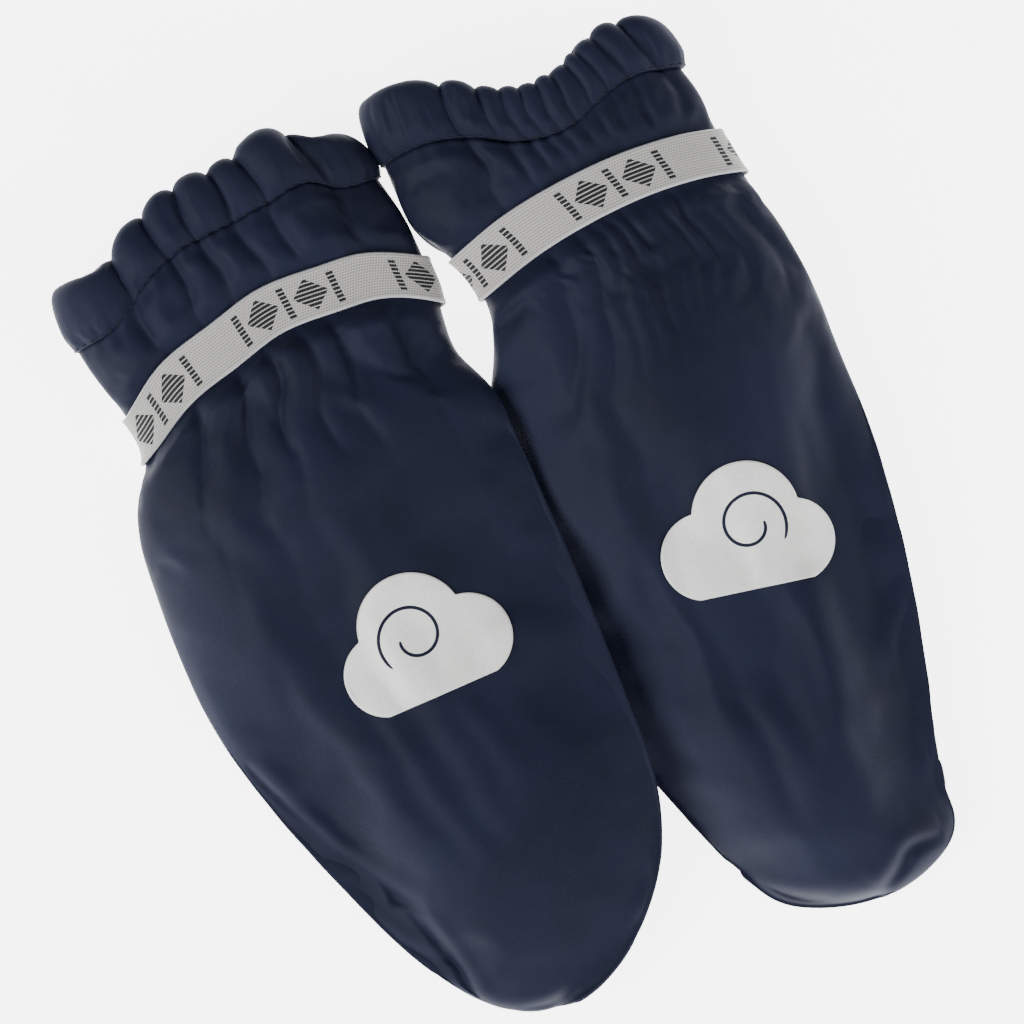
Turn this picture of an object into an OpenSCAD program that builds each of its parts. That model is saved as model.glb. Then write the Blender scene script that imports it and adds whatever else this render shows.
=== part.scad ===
// Pair of padded, thumbless toddler mittens lying on their backs.
// The left one laps a little over the right one's edge.
// Millimetres: X across the pair, Y from the tips (-Y) to the cuffs (+Y), Z up from the table.
// The origin is on the table, below the middle of the pair.
// Lengths along a mitten are counted from its tip: d = 0 at the tip, d = mitten_l at the cuff edge.

/* [Mitten] */
// Length from the rounded tip to the top edge of the cuff
mitten_l = 224; // [187:1:270]
// Width of the hand part at its widest
hand_w = 97; // [80:1:117]
// Height of the padded hand part above the table
hand_t = 27; // [23:0.5:33]
// Height of the side seam above the table along the hand part
seam_z = 11; // [9:0.5:13]
// Height of the seam above the table at the tip
tip_z = 5; // [4:0.5:7]
// How far the table presses the underside's curve flat
press = 1.5; // [0.5:0.1:2.5]
// Length over which the tip rounds up to the full width
tip_l = 114; // [90:1:116]
// Length over which the full width narrows to the wrist
shoulder_l = 28; // [20:1:29]
// Width of the wrist under the strap
wrist_w = 79; // [65:1:95]
// Height of the wrist from its underside to its top
wrist_t = 21; // [18:0.5:26]

/* [Layers] */
// Thickness of the outer shell fabric
shell_t = 0.8; // [0.5:0.1:1.2]
// Thickness of the wadding
padding_t = 2.4; // [1.6:0.1:3]
// Thickness of the fleece lining
lining_t = 1.2; // [0.8:0.1:1.6]
// Play between one layer and the next
layer_gap = 0.4; // [0.3:0.05:0.5]
// Width of the sewn edge along the sides and round the tip
seam_w = 3; // [2:0.1:4]

/* [Cuff] */
// Width of the gathered cuff
cuff_w = 81; // [67:1:97]
// Height of the gathered cuff from its underside to its top
cuff_t = 22; // [19:0.5:27]
// Length of the stitched casing at the top edge
casing_l = 16; // [13:0.5:20]
// Thickness of each of the casing's two plies
casing_ply = 1; // [0.6:0.1:1.4]
// How far the gathers stand proud of the casing's stitched edge
gather_h = 1.6; // [0.8:0.1:2.2]
// Number of gathers round the casing
gathers = 14; // [10:1:18]
// Width of the elastic inside the casing
elastic_w = 10; // [7:0.5:11]
// Thickness of the elastic inside the casing
elastic_t = 1.2; // [0.8:0.1:1.6]
// Number of stitches round the casing's lower edge
casing_stitches = 48; // [36:2:60]

/* [Strap] */
// Width of the woven elastic strap
strap_w = 12.5; // [10:0.5:15]
// Thickness of the strap
strap_t = 1.2; // [0.8:0.1:1.6]
// Distance from the cuff edge to the strap's middle at the sides
strap_drop = 44; // [40:0.5:50]
// Play between the strap and the gathered shell under it
strap_gap = 0.6; // [0.4:0.05:0.8]
// How far the strap arches towards the cuff across the front
strap_arch = 9; // [5:0.5:9.5]
// Room between the table and the lower edge of the strap
strap_clear = 0.9; // [0.8:0.1:1.5]

/* [Print] */
// Width of the reflective cloud print
print_w = 44; // [36:1:53]
// Thickness of the print
print_t = 0.3; // [0.2:0.05:0.5]
// Play between the print and the shell
print_gap = 0.5; // [0.4:0.05:0.6]
// Distance from the tip to the print's middle
print_d = 97; // [85:1:110]
// Distance of the print's middle from the mitten's centre line
print_x = 7; // [0:0.5:9]
// Turn of the right mitten's print, clockwise
print_turn = 11.5; // [0:0.5:15]

/* [Pair] */
// Width of the strip in which the left mitten lies over the right one
lap_w = 12; // [8:0.5:13]
// How far the two lapping edges are bent up and down
lap_rise = 7; // [6:0.5:8]
// How far the left mitten lies ahead of the right one, towards the cuffs
stagger = 6; // [0:0.5:10]
// Room for the soft wrist to fold between the hand part and the casing
fold_gap = 10; // [9:0.5:12]

/* [Hidden] */

// Each mitten's place and the way it laps: +1 lifts its +X edge, -1 lowers its -X edge
LEFT = 1;
RIGHT = -1;
side_x = (hand_w - lap_w) / 2;
function place(lap) = [-lap * side_x, lap * stagger / 2 - mitten_l / 2, 0];

// Stations along a mitten
strap_d = mitten_l - strap_drop;
shoulder_d = strap_d - shoulder_l;
casing_d = mitten_l - casing_l;
rim_d = casing_d - fold_gap;

// The strap's lower edge lies where the hand part starts to widen. The wrist is held so high
// that this edge clears the table by strap_clear.
edge_share = smooth((shoulder_l - strap_w / 2) / shoulder_l);
edge_drop = mix(seam_z + press, wrist_t / 2, edge_share) + strap_gap + strap_t;
wrist_z = (strap_clear + edge_drop - (1 - edge_share) * seam_z) / edge_share;

// Shape of the outline and the section
tip_pow = 2.2;
free_edge_pow = 1.4;
lap_edge_pow = 2;
half_segs = 16;
tip_steps = 8;
shoulder_steps = 6;
cap_angle = 6;

// Depth below the shell's surface, and inset from its edge, of each layer's two faces
shell_in = [shell_t, seam_w];
pad_out = shell_in + [layer_gap, layer_gap];
pad_in = pad_out + [padding_t, padding_t];
lin_out = pad_in + [layer_gap, layer_gap];
lin_in = lin_out + [lining_t, lining_t];

navy = "#262c44";
wadding_white = "#e9e7e0";
fleece_blue = "#343c5c";
strap_grey = "#bdbbb8";
print_silver = "#d5d3cc";
elastic_white = "#efefec";
thread_navy = "#1b2036";

function mix(a, b, t) = a + (b - a) * t;
function smooth(t) = let (c = min(max(t, 0), 1)) c * c * (3 - 2 * c);

// Share of full width at d, for a face inset by w: rises from 0 at the tip to 1 at tip_l
function tip_share(d, w) = d >= tip_l ? 1 : sqrt(1 - pow((tip_l - d) / (tip_l - w), tip_pow));

// 0 along the hand part and 1 from the strap to the cuff
function wristness(d) = smooth((d - shoulder_d) / shoulder_l);
function cuffness(d) = smooth((d - strap_d) / (casing_d - strap_d));

// Least height of a face above or below the seam, where the layers run out at the tip
thin = 0.2;

function half_width(d, w) =
    d < tip_l ? (hand_w / 2 - w) * tip_share(d, w)
              : mix(mix(hand_w, wrist_w, wristness(d)), cuff_w, cuffness(d)) / 2 - w;
function rise_up(d, face) =
    max(thin, mix(mix(hand_t - seam_z, wrist_t / 2, wristness(d)), cuff_t / 2, cuffness(d)) * tip_share(d, 0)
              - face[0]);
function drop_down(d, face) =
    max(thin, mix(mix(seam_z + press, wrist_t / 2, wristness(d)), cuff_t / 2, cuffness(d)) * tip_share(d, 0)
              - face[0]);
function seam_height(d) =
    mix(mix(tip_z, seam_z, tip_share(d, 0)), wrist_z, wristness(d));

// Point on a face of a mitten, at distance d from the tip and angle a round its section
function skin(lap, face, d, a) =
    let (x = half_width(d, face[1]) * cos(a),
         on_lap_side = lap * x > 0,
         edge_pow = mix(on_lap_side ? lap_edge_pow : free_edge_pow, 1, wristness(d)),
         crown = pow(abs(sin(a)), edge_pow),
         toward_edge = max(0, lap * x / (hand_w / 2)),
         bend = lap * lap_rise * toward_edge * toward_edge * (1 - wristness(d)),
         z = seam_height(d) + bend + (sin(a) >= 0 ? rise_up(d, face) : -drop_down(d, face)) * crown)
    [x, d, z];

// Stations of a layer's face, closer together round the tip
function stations(w, top_d) = concat(
    [for (i = [0 : tip_steps]) w + (tip_l - w) * (1 - cos(mix(cap_angle, 90, i / tip_steps)))],
    [for (i = [0 : shoulder_steps]) shoulder_d + shoulder_l * i / shoulder_steps],
    [mix(strap_d, top_d, 0.5), top_d]);

// Keep a face of the underside at its own depth above the table
function on_table(p, depth) = [p[0], p[1], depth > 0 ? max(p[2], depth) : p[2]];

function face_grid(lap, face, a0, a1, segs, lift, top_d) =
    [for (d = stations(face[1], top_d)) for (j = [0 : segs])
        on_table(skin(lap, face, d, mix(a0, a1, j / segs)), face[0]) + [0, 0, lift]];

function quad(a, b, c, d) = [[a, b, c], [a, c, d]];

// One half of a layer: outer face, inner face, the sewn edge between them and the open top
module half_layer(lap, outer, inner, front, top_d = rim_d) {
    a0 = front ? 0 : 180;
    lift = front ? layer_gap / 2 : -layer_gap / 2;
    rows = len(stations(0, top_d));
    cols = half_segs + 1;
    all = rows * cols;
    points = concat(face_grid(lap, outer, a0, a0 + 180, half_segs, lift, top_d),
                    face_grid(lap, inner, a0, a0 + 180, half_segs, lift, top_d));
    faces = concat(
        [for (i = [0 : rows - 2]) for (j = [0 : cols - 2]) let (k = i * cols + j)
            each concat(quad(k, k + 1, k + cols + 1, k + cols),
                        quad(all + k, all + k + cols, all + k + cols + 1, all + k + 1))],
        [for (i = [0 : rows - 2]) let (k = i * cols, m = k + cols - 1)
            each concat(quad(k, k + cols, all + k + cols, all + k),
                        quad(m, all + m, all + m + cols, m + cols))],
        [for (j = [0 : cols - 2]) let (k = (rows - 1) * cols + j)
            each quad(k, k + 1, all + k + 1, all + k)],
        [[for (j = [cols - 1 : -1 : 0]) j], [for (j = [0 : cols - 1]) all + j]],
        quad(cols - 1, 0, all, all + cols - 1));
    translate(place(lap)) polyhedron(points, faces, convexity = 4);
}

// A whole bag: outer and inner face closed round the section and at the tip, open at the top
module bag(lap, outer, inner, top_d = rim_d) {
    rows = len(stations(0, top_d));
    cols = 2 * half_segs;
    all = rows * cols;
    points = [for (face = [outer, inner]) for (d = stations(face[1], top_d)) for (j = [0 : cols - 1])
        on_table(skin(lap, face, d, 360 * j / cols), face[0])];
    faces = concat(
        [for (i = [0 : rows - 2]) for (j = [0 : cols - 1])
            let (k = i * cols + j, n = i * cols + (j + 1) % cols)
            each concat(quad(k, n, n + cols, k + cols),
                        quad(all + k, all + k + cols, all + n + cols, all + n))],
        [for (j = [0 : cols - 1])
            let (k = (rows - 1) * cols + j, n = (rows - 1) * cols + (j + 1) % cols)
            each quad(k, n, all + n, all + k)],
        [[for (j = [cols - 1 : -1 : 0]) j], [for (j = [0 : cols - 1]) all + j]]);
    translate(place(lap)) polyhedron(points, faces, convexity = 6);
}

// Angles that stand at equal distances along the oval edge of the cuff
function cuff_edge(a) = [cuff_w / 2 * cos(a), cuff_t / 2 * sin(a)];
edge_step = 3;
edge_table = [for (a = 0, s = 0; a <= 360; s = s + norm(cuff_edge(a + edge_step) - cuff_edge(a)), a = a + edge_step)
    [s, a]];
edge_length = edge_table[len(edge_table) - 1][0];
function even_angle(share) = lookup(share * edge_length, edge_table);

// A band round the section. Each profile point is [distance along, distance out], closed
module band(lap, angles, profiles) {
    segs = len(angles);
    n = len(profiles[0]);
    points = [for (j = [0 : segs - 1]) for (p = profiles[j]) skin(lap, [-p[1], -p[1]], p[0], angles[j])];
    faces = [for (j = [0 : segs - 1]) for (k = [0 : n - 1])
        let (a = j * n, b = ((j + 1) % segs) * n, m = (k + 1) % n)
        each quad(a + k, b + k, b + m, a + m)];
    translate(place(lap)) polyhedron(points, faces, convexity = 6);
}

module front_shell(lap) {
    color(navy) half_layer(lap, [0, 0], shell_in, true);
}

// The underside is trimmed flat where it lies on the table
module back_shell(lap) {
    color(navy) intersection() {
        half_layer(lap, [0, 0], shell_in, false);
        translate([-2 * hand_w, -mitten_l, 0]) cube([4 * hand_w, 2 * mitten_l, 2 * hand_t]);
    }
}

module padding(lap, front) {
    color(wadding_white) half_layer(lap, pad_out, pad_in, front);
}

module lining(lap) {
    color(fleece_blue) bag(lap, lin_out, lin_in);
}

// Middle of the strap at angle a: it arches across the front and runs straight across the back
function strap_line(a) = strap_d + strap_arch * pow(max(0, sin(a)), 2);

module wrist_strap(lap) {
    angles = [for (j = [0 : 2 * half_segs - 1]) 180 * j / half_segs];
    color(strap_grey) band(lap, angles, [for (a = angles)
        let (d = strap_line(a), under = strap_gap, over = strap_gap + strap_t)
        [[d - strap_w / 2, under], [d - strap_w / 2, over], [d + strap_w / 2, over], [d + strap_w / 2, under]]]);
}

// Point on the strap's outer face at angle a, at a share of the way across its width
function strap_face(lap, across, a) =
    let (d = strap_line(a), face = -[1, 1] * (strap_gap + strap_t))
    mix(skin(lap, face, d - strap_w / 2, a), skin(lap, face, d + strap_w / 2, a), across);

// Two rows of stitches that close the strap's loop under the wrist
tack_rows = 2;
tack_stitches = 5;
tack_spread = 0.7;
tack_row_gap = 5;
tack = [0.5, 1.3, 0.25];
tack_gap = 0.2;
module strap_tack(lap) {
    color(thread_navy) for (row = [0 : tack_rows - 1]) for (i = [0 : tack_stitches - 1]) {
        a = 270 + asin((row - 0.5) * tack_row_gap / half_width(strap_d, 0));
        across = 0.5 + tack_spread * (i / (tack_stitches - 1) - 0.5);
        translate(place(lap) + strap_face(lap, across, a) - [tack[0] / 2, tack[1] / 2, tack_gap + tack[2]])
            cube(tack);
    }
}

// Cloud: three round puffs on a flat base, drawn about its own middle and print_w wide
module cloud() {
    s = print_w / 44;
    scale([s, s, 1]) intersection() {
        union() {
            translate([-11.5, -4]) circle(10.5, $fn = 32);
            translate([-1, 4.5]) circle(13.5, $fn = 32);
            translate([11, -3.5]) circle(11, $fn = 32);
            translate([-11, -14]) square([22, 14]);
        }
        translate([-30, -14]) square([60, 40]);
    }
}

module reflective_print(lap) {
    turn = lap == RIGHT ? -print_turn : 0;
    under = [-print_gap, 0];
    over = [-print_gap - print_t, 0];
    color(print_silver) intersection() {
        translate(place(lap) + [print_x, print_d, 0])
            rotate([0, 0, turn]) mirror([lap == RIGHT ? 1 : 0, 0, 0])
            linear_extrude(2 * hand_t) cloud();
        print_patch(lap, over, under);
    }
}

// Part of the front, between two depths, that is a little larger than the print
patch_angle = 35;
patch_rows = 6;
module print_patch(lap, over, under) {
    reach = 0.62 * print_w;
    cols = half_segs + 1;
    rows = patch_rows + 1;
    all = rows * cols;
    points = [for (face = [over, under]) for (i = [0 : patch_rows]) for (j = [0 : half_segs])
        skin(lap, face, print_d + mix(-reach, reach, i / patch_rows),
             mix(patch_angle, 180 - patch_angle, j / half_segs))];
    faces = concat(
        [for (i = [0 : rows - 2]) for (j = [0 : cols - 2]) let (k = i * cols + j)
            each concat(quad(k, k + 1, k + cols + 1, k + cols),
                        quad(all + k, all + k + cols, all + k + cols + 1, all + k + 1))],
        [for (i = [0 : rows - 2]) let (k = i * cols, m = k + cols - 1)
            each concat(quad(k, k + cols, all + k + cols, all + k),
                        quad(m + cols, m, all + m, all + m + cols))],
        [for (j = [0 : cols - 2]) let (k = (rows - 1) * cols + j)
            each concat(quad(k, k + 1, all + k + 1, all + k), quad(j + 1, j, all + j, all + j + 1))]);
    translate(place(lap)) polyhedron(points, faces, convexity = 4);
}

// The casing is the shell turned over into a hem: two plies joined at the top edge,
// open below, where the row of stitches closes it, with room between them for the elastic.
channel_t = elastic_t + 2 * layer_gap;
casing_t = channel_t + 2 * casing_ply;
gather_segs = 4;
fold_t = 2;
module cuff_casing(lap) {
    segs = gathers * gather_segs;
    color(navy) band(lap, [for (j = [0 : segs - 1]) even_angle(j / segs)], [for (j = [0 : segs - 1])
        let (puff = gather_h * (0.5 - 0.5 * cos(360 * j / gather_segs)),
             outer = puff,
             inner = -casing_t)
        [[casing_d, inner], [casing_d, inner + casing_ply],
         [mitten_l - fold_t, inner + casing_ply], [mitten_l - fold_t, -casing_ply],
         [casing_d, -casing_ply], [casing_d, 0],
         [casing_d + 0.3 * casing_l, outer], [casing_d + 0.8 * casing_l, outer],
         [mitten_l, mix(inner, outer, 0.6)], [mitten_l, mix(inner, outer, 0.3)],
         [casing_d + 0.8 * casing_l, inner]]]);
}

module cuff_elastic(lap) {
    segs = gathers * gather_segs;
    inner = -casing_t + casing_ply + layer_gap;
    d = mitten_l - fold_t - layer_gap - elastic_w;
    color(elastic_white) band(lap, [for (j = [0 : segs - 1]) even_angle(j / segs)], [for (j = [0 : segs - 1])
        [[d, inner], [d, inner + elastic_t], [d + elastic_w, inner + elastic_t], [d + elastic_w, inner]]]);
}

stitch = [2.4, 0.6, 0.4];
stitch_gap = 0.25;
module casing_stitching(lap) {
    d = casing_d + stitch[1];
    out = gather_h * stitch[1] * 1.5 / (0.3 * casing_l) + stitch_gap;
    color(thread_navy) for (i = [0 : casing_stitches - 1]) {
        a = even_angle((i + 0.5) / casing_stitches);
        turn = atan2((cuff_w / 2) * sin(a), (cuff_t / 2) * cos(a));
        translate(place(lap) + skin(lap, [-out, -out], d, a))
            rotate([0, 90 - turn, 0]) translate([-stitch[0] / 2, -stitch[1] / 2, 0]) cube(stitch);
    }
}

front_shell(LEFT);  // left_front_shell
back_shell(LEFT);  // left_back_shell
padding(LEFT, true);  // left_front_padding
padding(LEFT, false);  // left_back_padding
lining(LEFT);  // left_lining
wrist_strap(LEFT);  // left_wrist_strap
strap_tack(LEFT);  // left_strap_tack
reflective_print(LEFT);  // left_print
cuff_casing(LEFT);  // left_cuff_casing
cuff_elastic(LEFT);  // left_cuff_elastic
casing_stitching(LEFT);  // left_casing_stitching
front_shell(RIGHT);  // right_front_shell
back_shell(RIGHT);  // right_back_shell
padding(RIGHT, true);  // right_front_padding
padding(RIGHT, false);  // right_back_padding
lining(RIGHT);  // right_lining
wrist_strap(RIGHT);  // right_wrist_strap
strap_tack(RIGHT);  // right_strap_tack
reflective_print(RIGHT);  // right_print
cuff_casing(RIGHT);  // right_cuff_casing
cuff_elastic(RIGHT);  // right_cuff_elastic
casing_stitching(RIGHT);  // right_casing_stitching
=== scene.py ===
# %% [markdown]
# # A pair of padded toddler mittens
# The pair lies on its back on a pale table, with the left mitten lapped over the right one.
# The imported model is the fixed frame: it says where each mitten, strap and casing is, and how
# the pieces move. Every solid in it stands for something soft or sewn, and is replaced here by a
# piece with the shape and the finish of the real one.

# %% Load the frame
import math
import bmesh
import bpy
import numpy as np
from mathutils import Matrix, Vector


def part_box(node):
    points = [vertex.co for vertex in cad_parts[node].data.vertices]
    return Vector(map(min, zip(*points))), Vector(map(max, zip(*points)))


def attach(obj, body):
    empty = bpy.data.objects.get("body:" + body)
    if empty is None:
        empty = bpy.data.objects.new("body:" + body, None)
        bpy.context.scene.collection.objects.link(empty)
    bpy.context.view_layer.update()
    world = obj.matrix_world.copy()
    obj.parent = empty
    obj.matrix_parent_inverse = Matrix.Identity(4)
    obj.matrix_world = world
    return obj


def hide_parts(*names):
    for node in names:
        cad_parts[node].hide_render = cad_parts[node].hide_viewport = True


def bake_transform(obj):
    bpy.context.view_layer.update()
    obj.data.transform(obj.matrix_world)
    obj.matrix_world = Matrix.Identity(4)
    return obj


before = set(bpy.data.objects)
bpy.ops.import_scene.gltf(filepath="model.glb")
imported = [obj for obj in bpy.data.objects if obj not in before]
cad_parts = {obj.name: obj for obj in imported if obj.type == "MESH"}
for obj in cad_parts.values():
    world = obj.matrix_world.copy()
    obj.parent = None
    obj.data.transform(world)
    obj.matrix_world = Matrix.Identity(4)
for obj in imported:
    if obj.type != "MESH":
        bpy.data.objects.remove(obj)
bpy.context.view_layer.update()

# One millimetre in metres, which is what the frame is in
MM = 0.001
SIDES = ("left", "right")


def node_box(name):
    """Lowest and highest corner of a CAD node, in millimetres."""
    low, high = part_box(name)
    return np.array(low) / MM, np.array(high) / MM


# %% [markdown]
# ## Sizes that come from the frame
# Each mitten is described from its tip: its centre line, where the strap and the casing are,
# and how high its seam lies at the wrist. All of these are read from the boxes of the CAD nodes,
# so the soft pieces follow the frame if it is packed again in another size.

# %% Read each mitten's place
STRAP_W = 12.5
# How far the tip of the outline lies below the edge of the shell's box
TIP_BEYOND = {"left": 0.1, "right": 1.3}
PLACE = {}
for side in SIDES:
    shell_low, shell_high = node_box(side + "_front_shell")
    casing_low, casing_high = node_box(side + "_cuff_casing")
    strap_low, _ = node_box(side + "_wrist_strap")
    print_low, print_high = node_box(side + "_print")
    PLACE[side] = {
        "x": (shell_low[0] + shell_high[0]) / 2,
        "tip": shell_low[1] - TIP_BEYOND[side],
        "stitch_d": casing_low[1] - shell_low[1] + TIP_BEYOND[side],
        "casing_y": casing_low[1],
        "casing_l": casing_high[1] - casing_low[1],
        "wrist_z": (casing_low[2] + casing_high[2]) / 2,
        "strap_y": strap_low[1] + STRAP_W / 2,
        "print": (print_low + print_high) / 2,
    }
    print(side, {k: np.round(v, 1).tolist() for k, v in PLACE[side].items()})

# %% [markdown]
# ## Small helpers
# Smooth curves through a few points give outlines and lines across the fabric. A mesh is put
# together from whole arrays, so a surface of many thousand points takes no Python loop.

# %% Curves through points
def smoothstep(t):
    """0 below 0, 1 above 1, and an S-shaped rise between: 3t squared minus 2t cubed."""
    t = np.clip(t, 0.0, 1.0)
    return t * t * (3 - 2 * t)


def curve_through(points, at):
    """Height of a smooth curve at positions 'at'. Between two neighbouring points it is a cubic
    whose slope at each point is that of the line between the points on either side of it."""
    px, py = np.array(points, float).T
    slope = np.gradient(py, px)
    at = np.clip(at, px[0], px[-1])
    i = np.clip(np.searchsorted(px, at) - 1, 0, len(px) - 2)
    h = px[i + 1] - px[i]
    t = (at - px[i]) / h
    return ((2 * t**3 - 3 * t**2 + 1) * py[i] + (t**3 - 2 * t**2 + t) * h * slope[i]
            + (3 * t**2 - 2 * t**3) * py[i + 1] + (t**3 - t**2) * h * slope[i + 1])


# %% Meshes from arrays
def put_mesh(name, points_mm, quads, uv=None):
    """Makes an object from an array of points in millimetres and an array of quads. uv holds one
    pair for each point."""
    mesh = bpy.data.meshes.new(name)
    quads = np.asarray(quads)
    n, k = quads.shape
    mesh.vertices.add(np.size(points_mm) // 3)
    mesh.vertices.foreach_set("co", (np.asarray(points_mm, float) * MM).ravel())
    mesh.loops.add(n * k)
    mesh.loops.foreach_set("vertex_index", quads.ravel().astype(np.int32))
    mesh.polygons.add(n)
    mesh.polygons.foreach_set("loop_start", np.arange(0, n * k, k, dtype=np.int32))
    mesh.polygons.foreach_set("loop_total", np.full(n, k, dtype=np.int32))
    mesh.polygons.foreach_set("use_smooth", np.ones(n, dtype=bool))
    mesh.update(calc_edges=True)
    if uv is not None:
        layer = mesh.uv_layers.new(name="cloth")
        layer.data.foreach_set("uv", uv.reshape(-1, 2)[quads.ravel()].ravel())
    mesh.validate()
    piece = bpy.data.objects.new(name, mesh)
    bpy.context.scene.collection.objects.link(piece)
    return piece


def grid_quads(rows, cols, close_rows=False, close_cols=False, flip=False):
    """Quads of a grid of points stored row by row. A closed direction joins its end to its start."""
    i = np.arange(rows if close_rows else rows - 1)[:, None]
    j = np.arange(cols if close_cols else cols - 1)[None, :]
    corners = (i * cols + j, i * cols + (j + 1) % cols,
               ((i + 1) % rows) * cols + (j + 1) % cols, ((i + 1) % rows) * cols + j)
    quads = np.stack(np.broadcast_arrays(*corners), -1).reshape(-1, 4)
    return quads[:, ::-1] if flip else quads


def unit(v):
    """Vectors scaled to length 1."""
    return v / np.maximum(np.linalg.norm(v, axis=-1, keepdims=True), 1e-9)


def run_along(path):
    """Length along a path at each of its points, from 0."""
    return np.concatenate([[0], np.cumsum(np.linalg.norm(np.diff(path, axis=0), axis=1))])


def grid_normals(grid):
    """Unit normals of a grid of points: the cross product of its two directions."""
    return unit(np.cross(np.gradient(grid, axis=1), np.gradient(grid, axis=0)))


def smooth_grid(grid, passes):
    """Each pass moves every inner point of a grid half way to the mean of its four neighbours."""
    grid = grid.copy()
    for _ in range(passes):
        mean = (grid[2:, 1:-1] + grid[:-2, 1:-1] + grid[1:-1, 2:] + grid[1:-1, :-2]) / 4
        grid[1:-1, 1:-1] = (grid[1:-1, 1:-1] + mean) / 2
    return grid


# %% [markdown]
# ## Outline of each mitten
# A mitten is two panels of fabric sewn together along the sides and round the tip. One outline
# could serve both mittens, but soft things never lie quite alike, so each has its own: a half
# width and a centre line, as curves through a few points counted from its tip. The tip rounds
# off as a superellipse. The casing's stitch line and the strap's line run across the mitten, and
# are given from its centre line in the same way.

# %% Outline, stitch line and strap line
TIP_LEN = 114.0
TIP_POW = 2.2
SHAPE = {
    "left": {
        "half": [(0, 50.5), (24, 51), (60, 49), (113, 50), (137, 49.3), (149, 48.2), (155, 46),
                 (161, 43), (168, 40.8), (180, 42), (197, 44), (210, 43)],
        "middle": [(0, 4.0), (23, 6.8), (41, 6.4), (71, 2.3), (90, 0.2), (149, 0), (161, 0.5),
                   (169, 3), (176, 3.4), (188, 2), (210, -0.6)],
        "casing": [(-42, -9), (-32, -8), (-20, -1), (-9, 3.3), (3, 4.2), (16, 5.5), (26, 6.2),
                   (34, 1.8), (43, 1)],
        "strap": [(-37, -6.8), (-25, 1), (-8, 6), (4.5, 9), (20, 8.5), (32, 7), (41, 3), (46, 0)],
    },
    "right": {
        "half": [(0, 61), (6, 61), (12, 55), (18, 48.6), (30, 44.5), (48, 43.8), (72, 46), (96, 47.2),
                 (114, 47.9), (130, 47.3), (150, 44.2), (162, 40), (172, 37), (184, 36), (192, 37.2),
                 (202, 39.6), (213, 38.6)],
        "middle": [(0, 3.4), (12, 1.2), (24, -1), (48, -2), (72, -2.8), (96, -2.2), (114, -1.6),
                   (130, -0.8), (150, 2.8), (162, 5.6), (174, 6.6), (186, 4.8), (198, 1), (213, -1)],
        "casing": [(-39, 9), (-34, 9.6), (-26, 9.2), (-17, 6.4), (-6, 0.6), (9, -0.7), (17, 2.3),
                   (25, 4.4), (40, 2)],
        "strap": [(-31, 3), (-15, 7.5), (1, 9.7), (20, 10), (32, 8.6), (43, 6)],
    },
}
print("outlines for", ", ".join(SHAPE))

# %% [markdown]
# ## Surface of a mitten
# Seen along the arm, a padded mitten is a lens: two bulging panels that meet in a pinched seam.
# Where the strap and the cuff gather it, the section becomes an oval. The height above the table
# is a formula of the place, so the shell, the strap and the inner layers all agree.

# %% Height and width at any place
TIP_SEAM_Z = 5.0
HAND_SEAM_Z = 11.0
HAND_RISE = 15.6
HAND_DROP = 12.4
WRIST_HALF_T = 10.5
LAP_BEND = 7.0
SHOULDER = (140.0, 168.0)
FREE_POW = 1.25
LAP_POW = 2.0


def tip_share(d):
    """Share of the full width at distance d from the tip: a superellipse that is 0 at the tip
    and 1 from TIP_LEN on."""
    q = np.clip((TIP_LEN - d) / TIP_LEN, 0, 1)
    return np.sqrt(np.maximum(1 - q**TIP_POW, 0))


def wristness(d):
    """0 along the hand part and 1 from the strap to the cuff."""
    return smoothstep((d - SHOULDER[0]) / (SHOULDER[1] - SHOULDER[0]))


def half_width(side, d):
    """Half width of the outline at distance d from the tip."""
    return curve_through(SHAPE[side]["half"], d) * tip_share(d)


def middle(side, d):
    """Place of the outline's middle across the pair at distance d from the tip."""
    return PLACE[side]["x"] + curve_through(SHAPE[side]["middle"], d)


def seam_height(side, x_share, d):
    """Height of the side seam. It rises from the tip to the hand and to the wrist, and bends up
    or down along the edge where the mittens lap, with the square of the distance from the middle."""
    wrist = wristness(d)
    level = TIP_SEAM_Z + (HAND_SEAM_Z - TIP_SEAM_Z) * tip_share(d)
    level = level + (PLACE[side]["wrist_z"] - level) * wrist
    lap = 1 if side == "left" else -1
    return level + lap * LAP_BEND * np.maximum(0, lap * x_share)**2 * (1 - wrist)


def panel_height(side, front, x, d):
    """Height of the front or the back panel over the point x, d: seam height plus or minus the
    panel's rise, times the crown, a power of the root of 1 minus the share of width squared."""
    x_share = np.clip((x - middle(side, d)) / np.maximum(half_width(side, d), 0.5), -1, 1)
    wrist = wristness(d)
    lap_side = x_share > 0 if side == "left" else x_share < 0
    power = np.where(lap_side, LAP_POW, FREE_POW)
    power = power + (1 - power) * wrist
    crown = np.sqrt(np.maximum(1 - x_share**2, 0)) ** power
    bulge = (HAND_RISE if front else HAND_DROP) * tip_share(d)
    bulge = bulge + (WRIST_HALF_T - bulge) * wrist
    return seam_height(side, x_share, d) + (bulge if front else -bulge) * crown


def casing_line(side, front, x):
    """Distance from the tip of the casing's stitch line. The back runs straight between its ends,
    and dips with the front where that hangs lower."""
    line = np.array(SHAPE[side]["casing"], float)
    at = x - PLACE[side]["x"]
    rise = curve_through(line, at)
    if not front:
        rise = np.minimum(rise, np.interp(at, line[[0, -1], 0], line[[0, -1], 1]))
    return PLACE[side]["stitch_d"] + rise


def strap_line(side, front, x):
    """Distance from the tip of the strap's middle: arched on the front, straight on the back."""
    line = np.array(SHAPE[side]["strap"], float)
    at = x - PLACE[side]["x"]
    rise = curve_through(line, at) if front else np.interp(at, line[[0, -1], 0], line[[0, -1], 1])
    return PLACE[side]["strap_y"] - PLACE[side]["tip"] + rise


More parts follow.
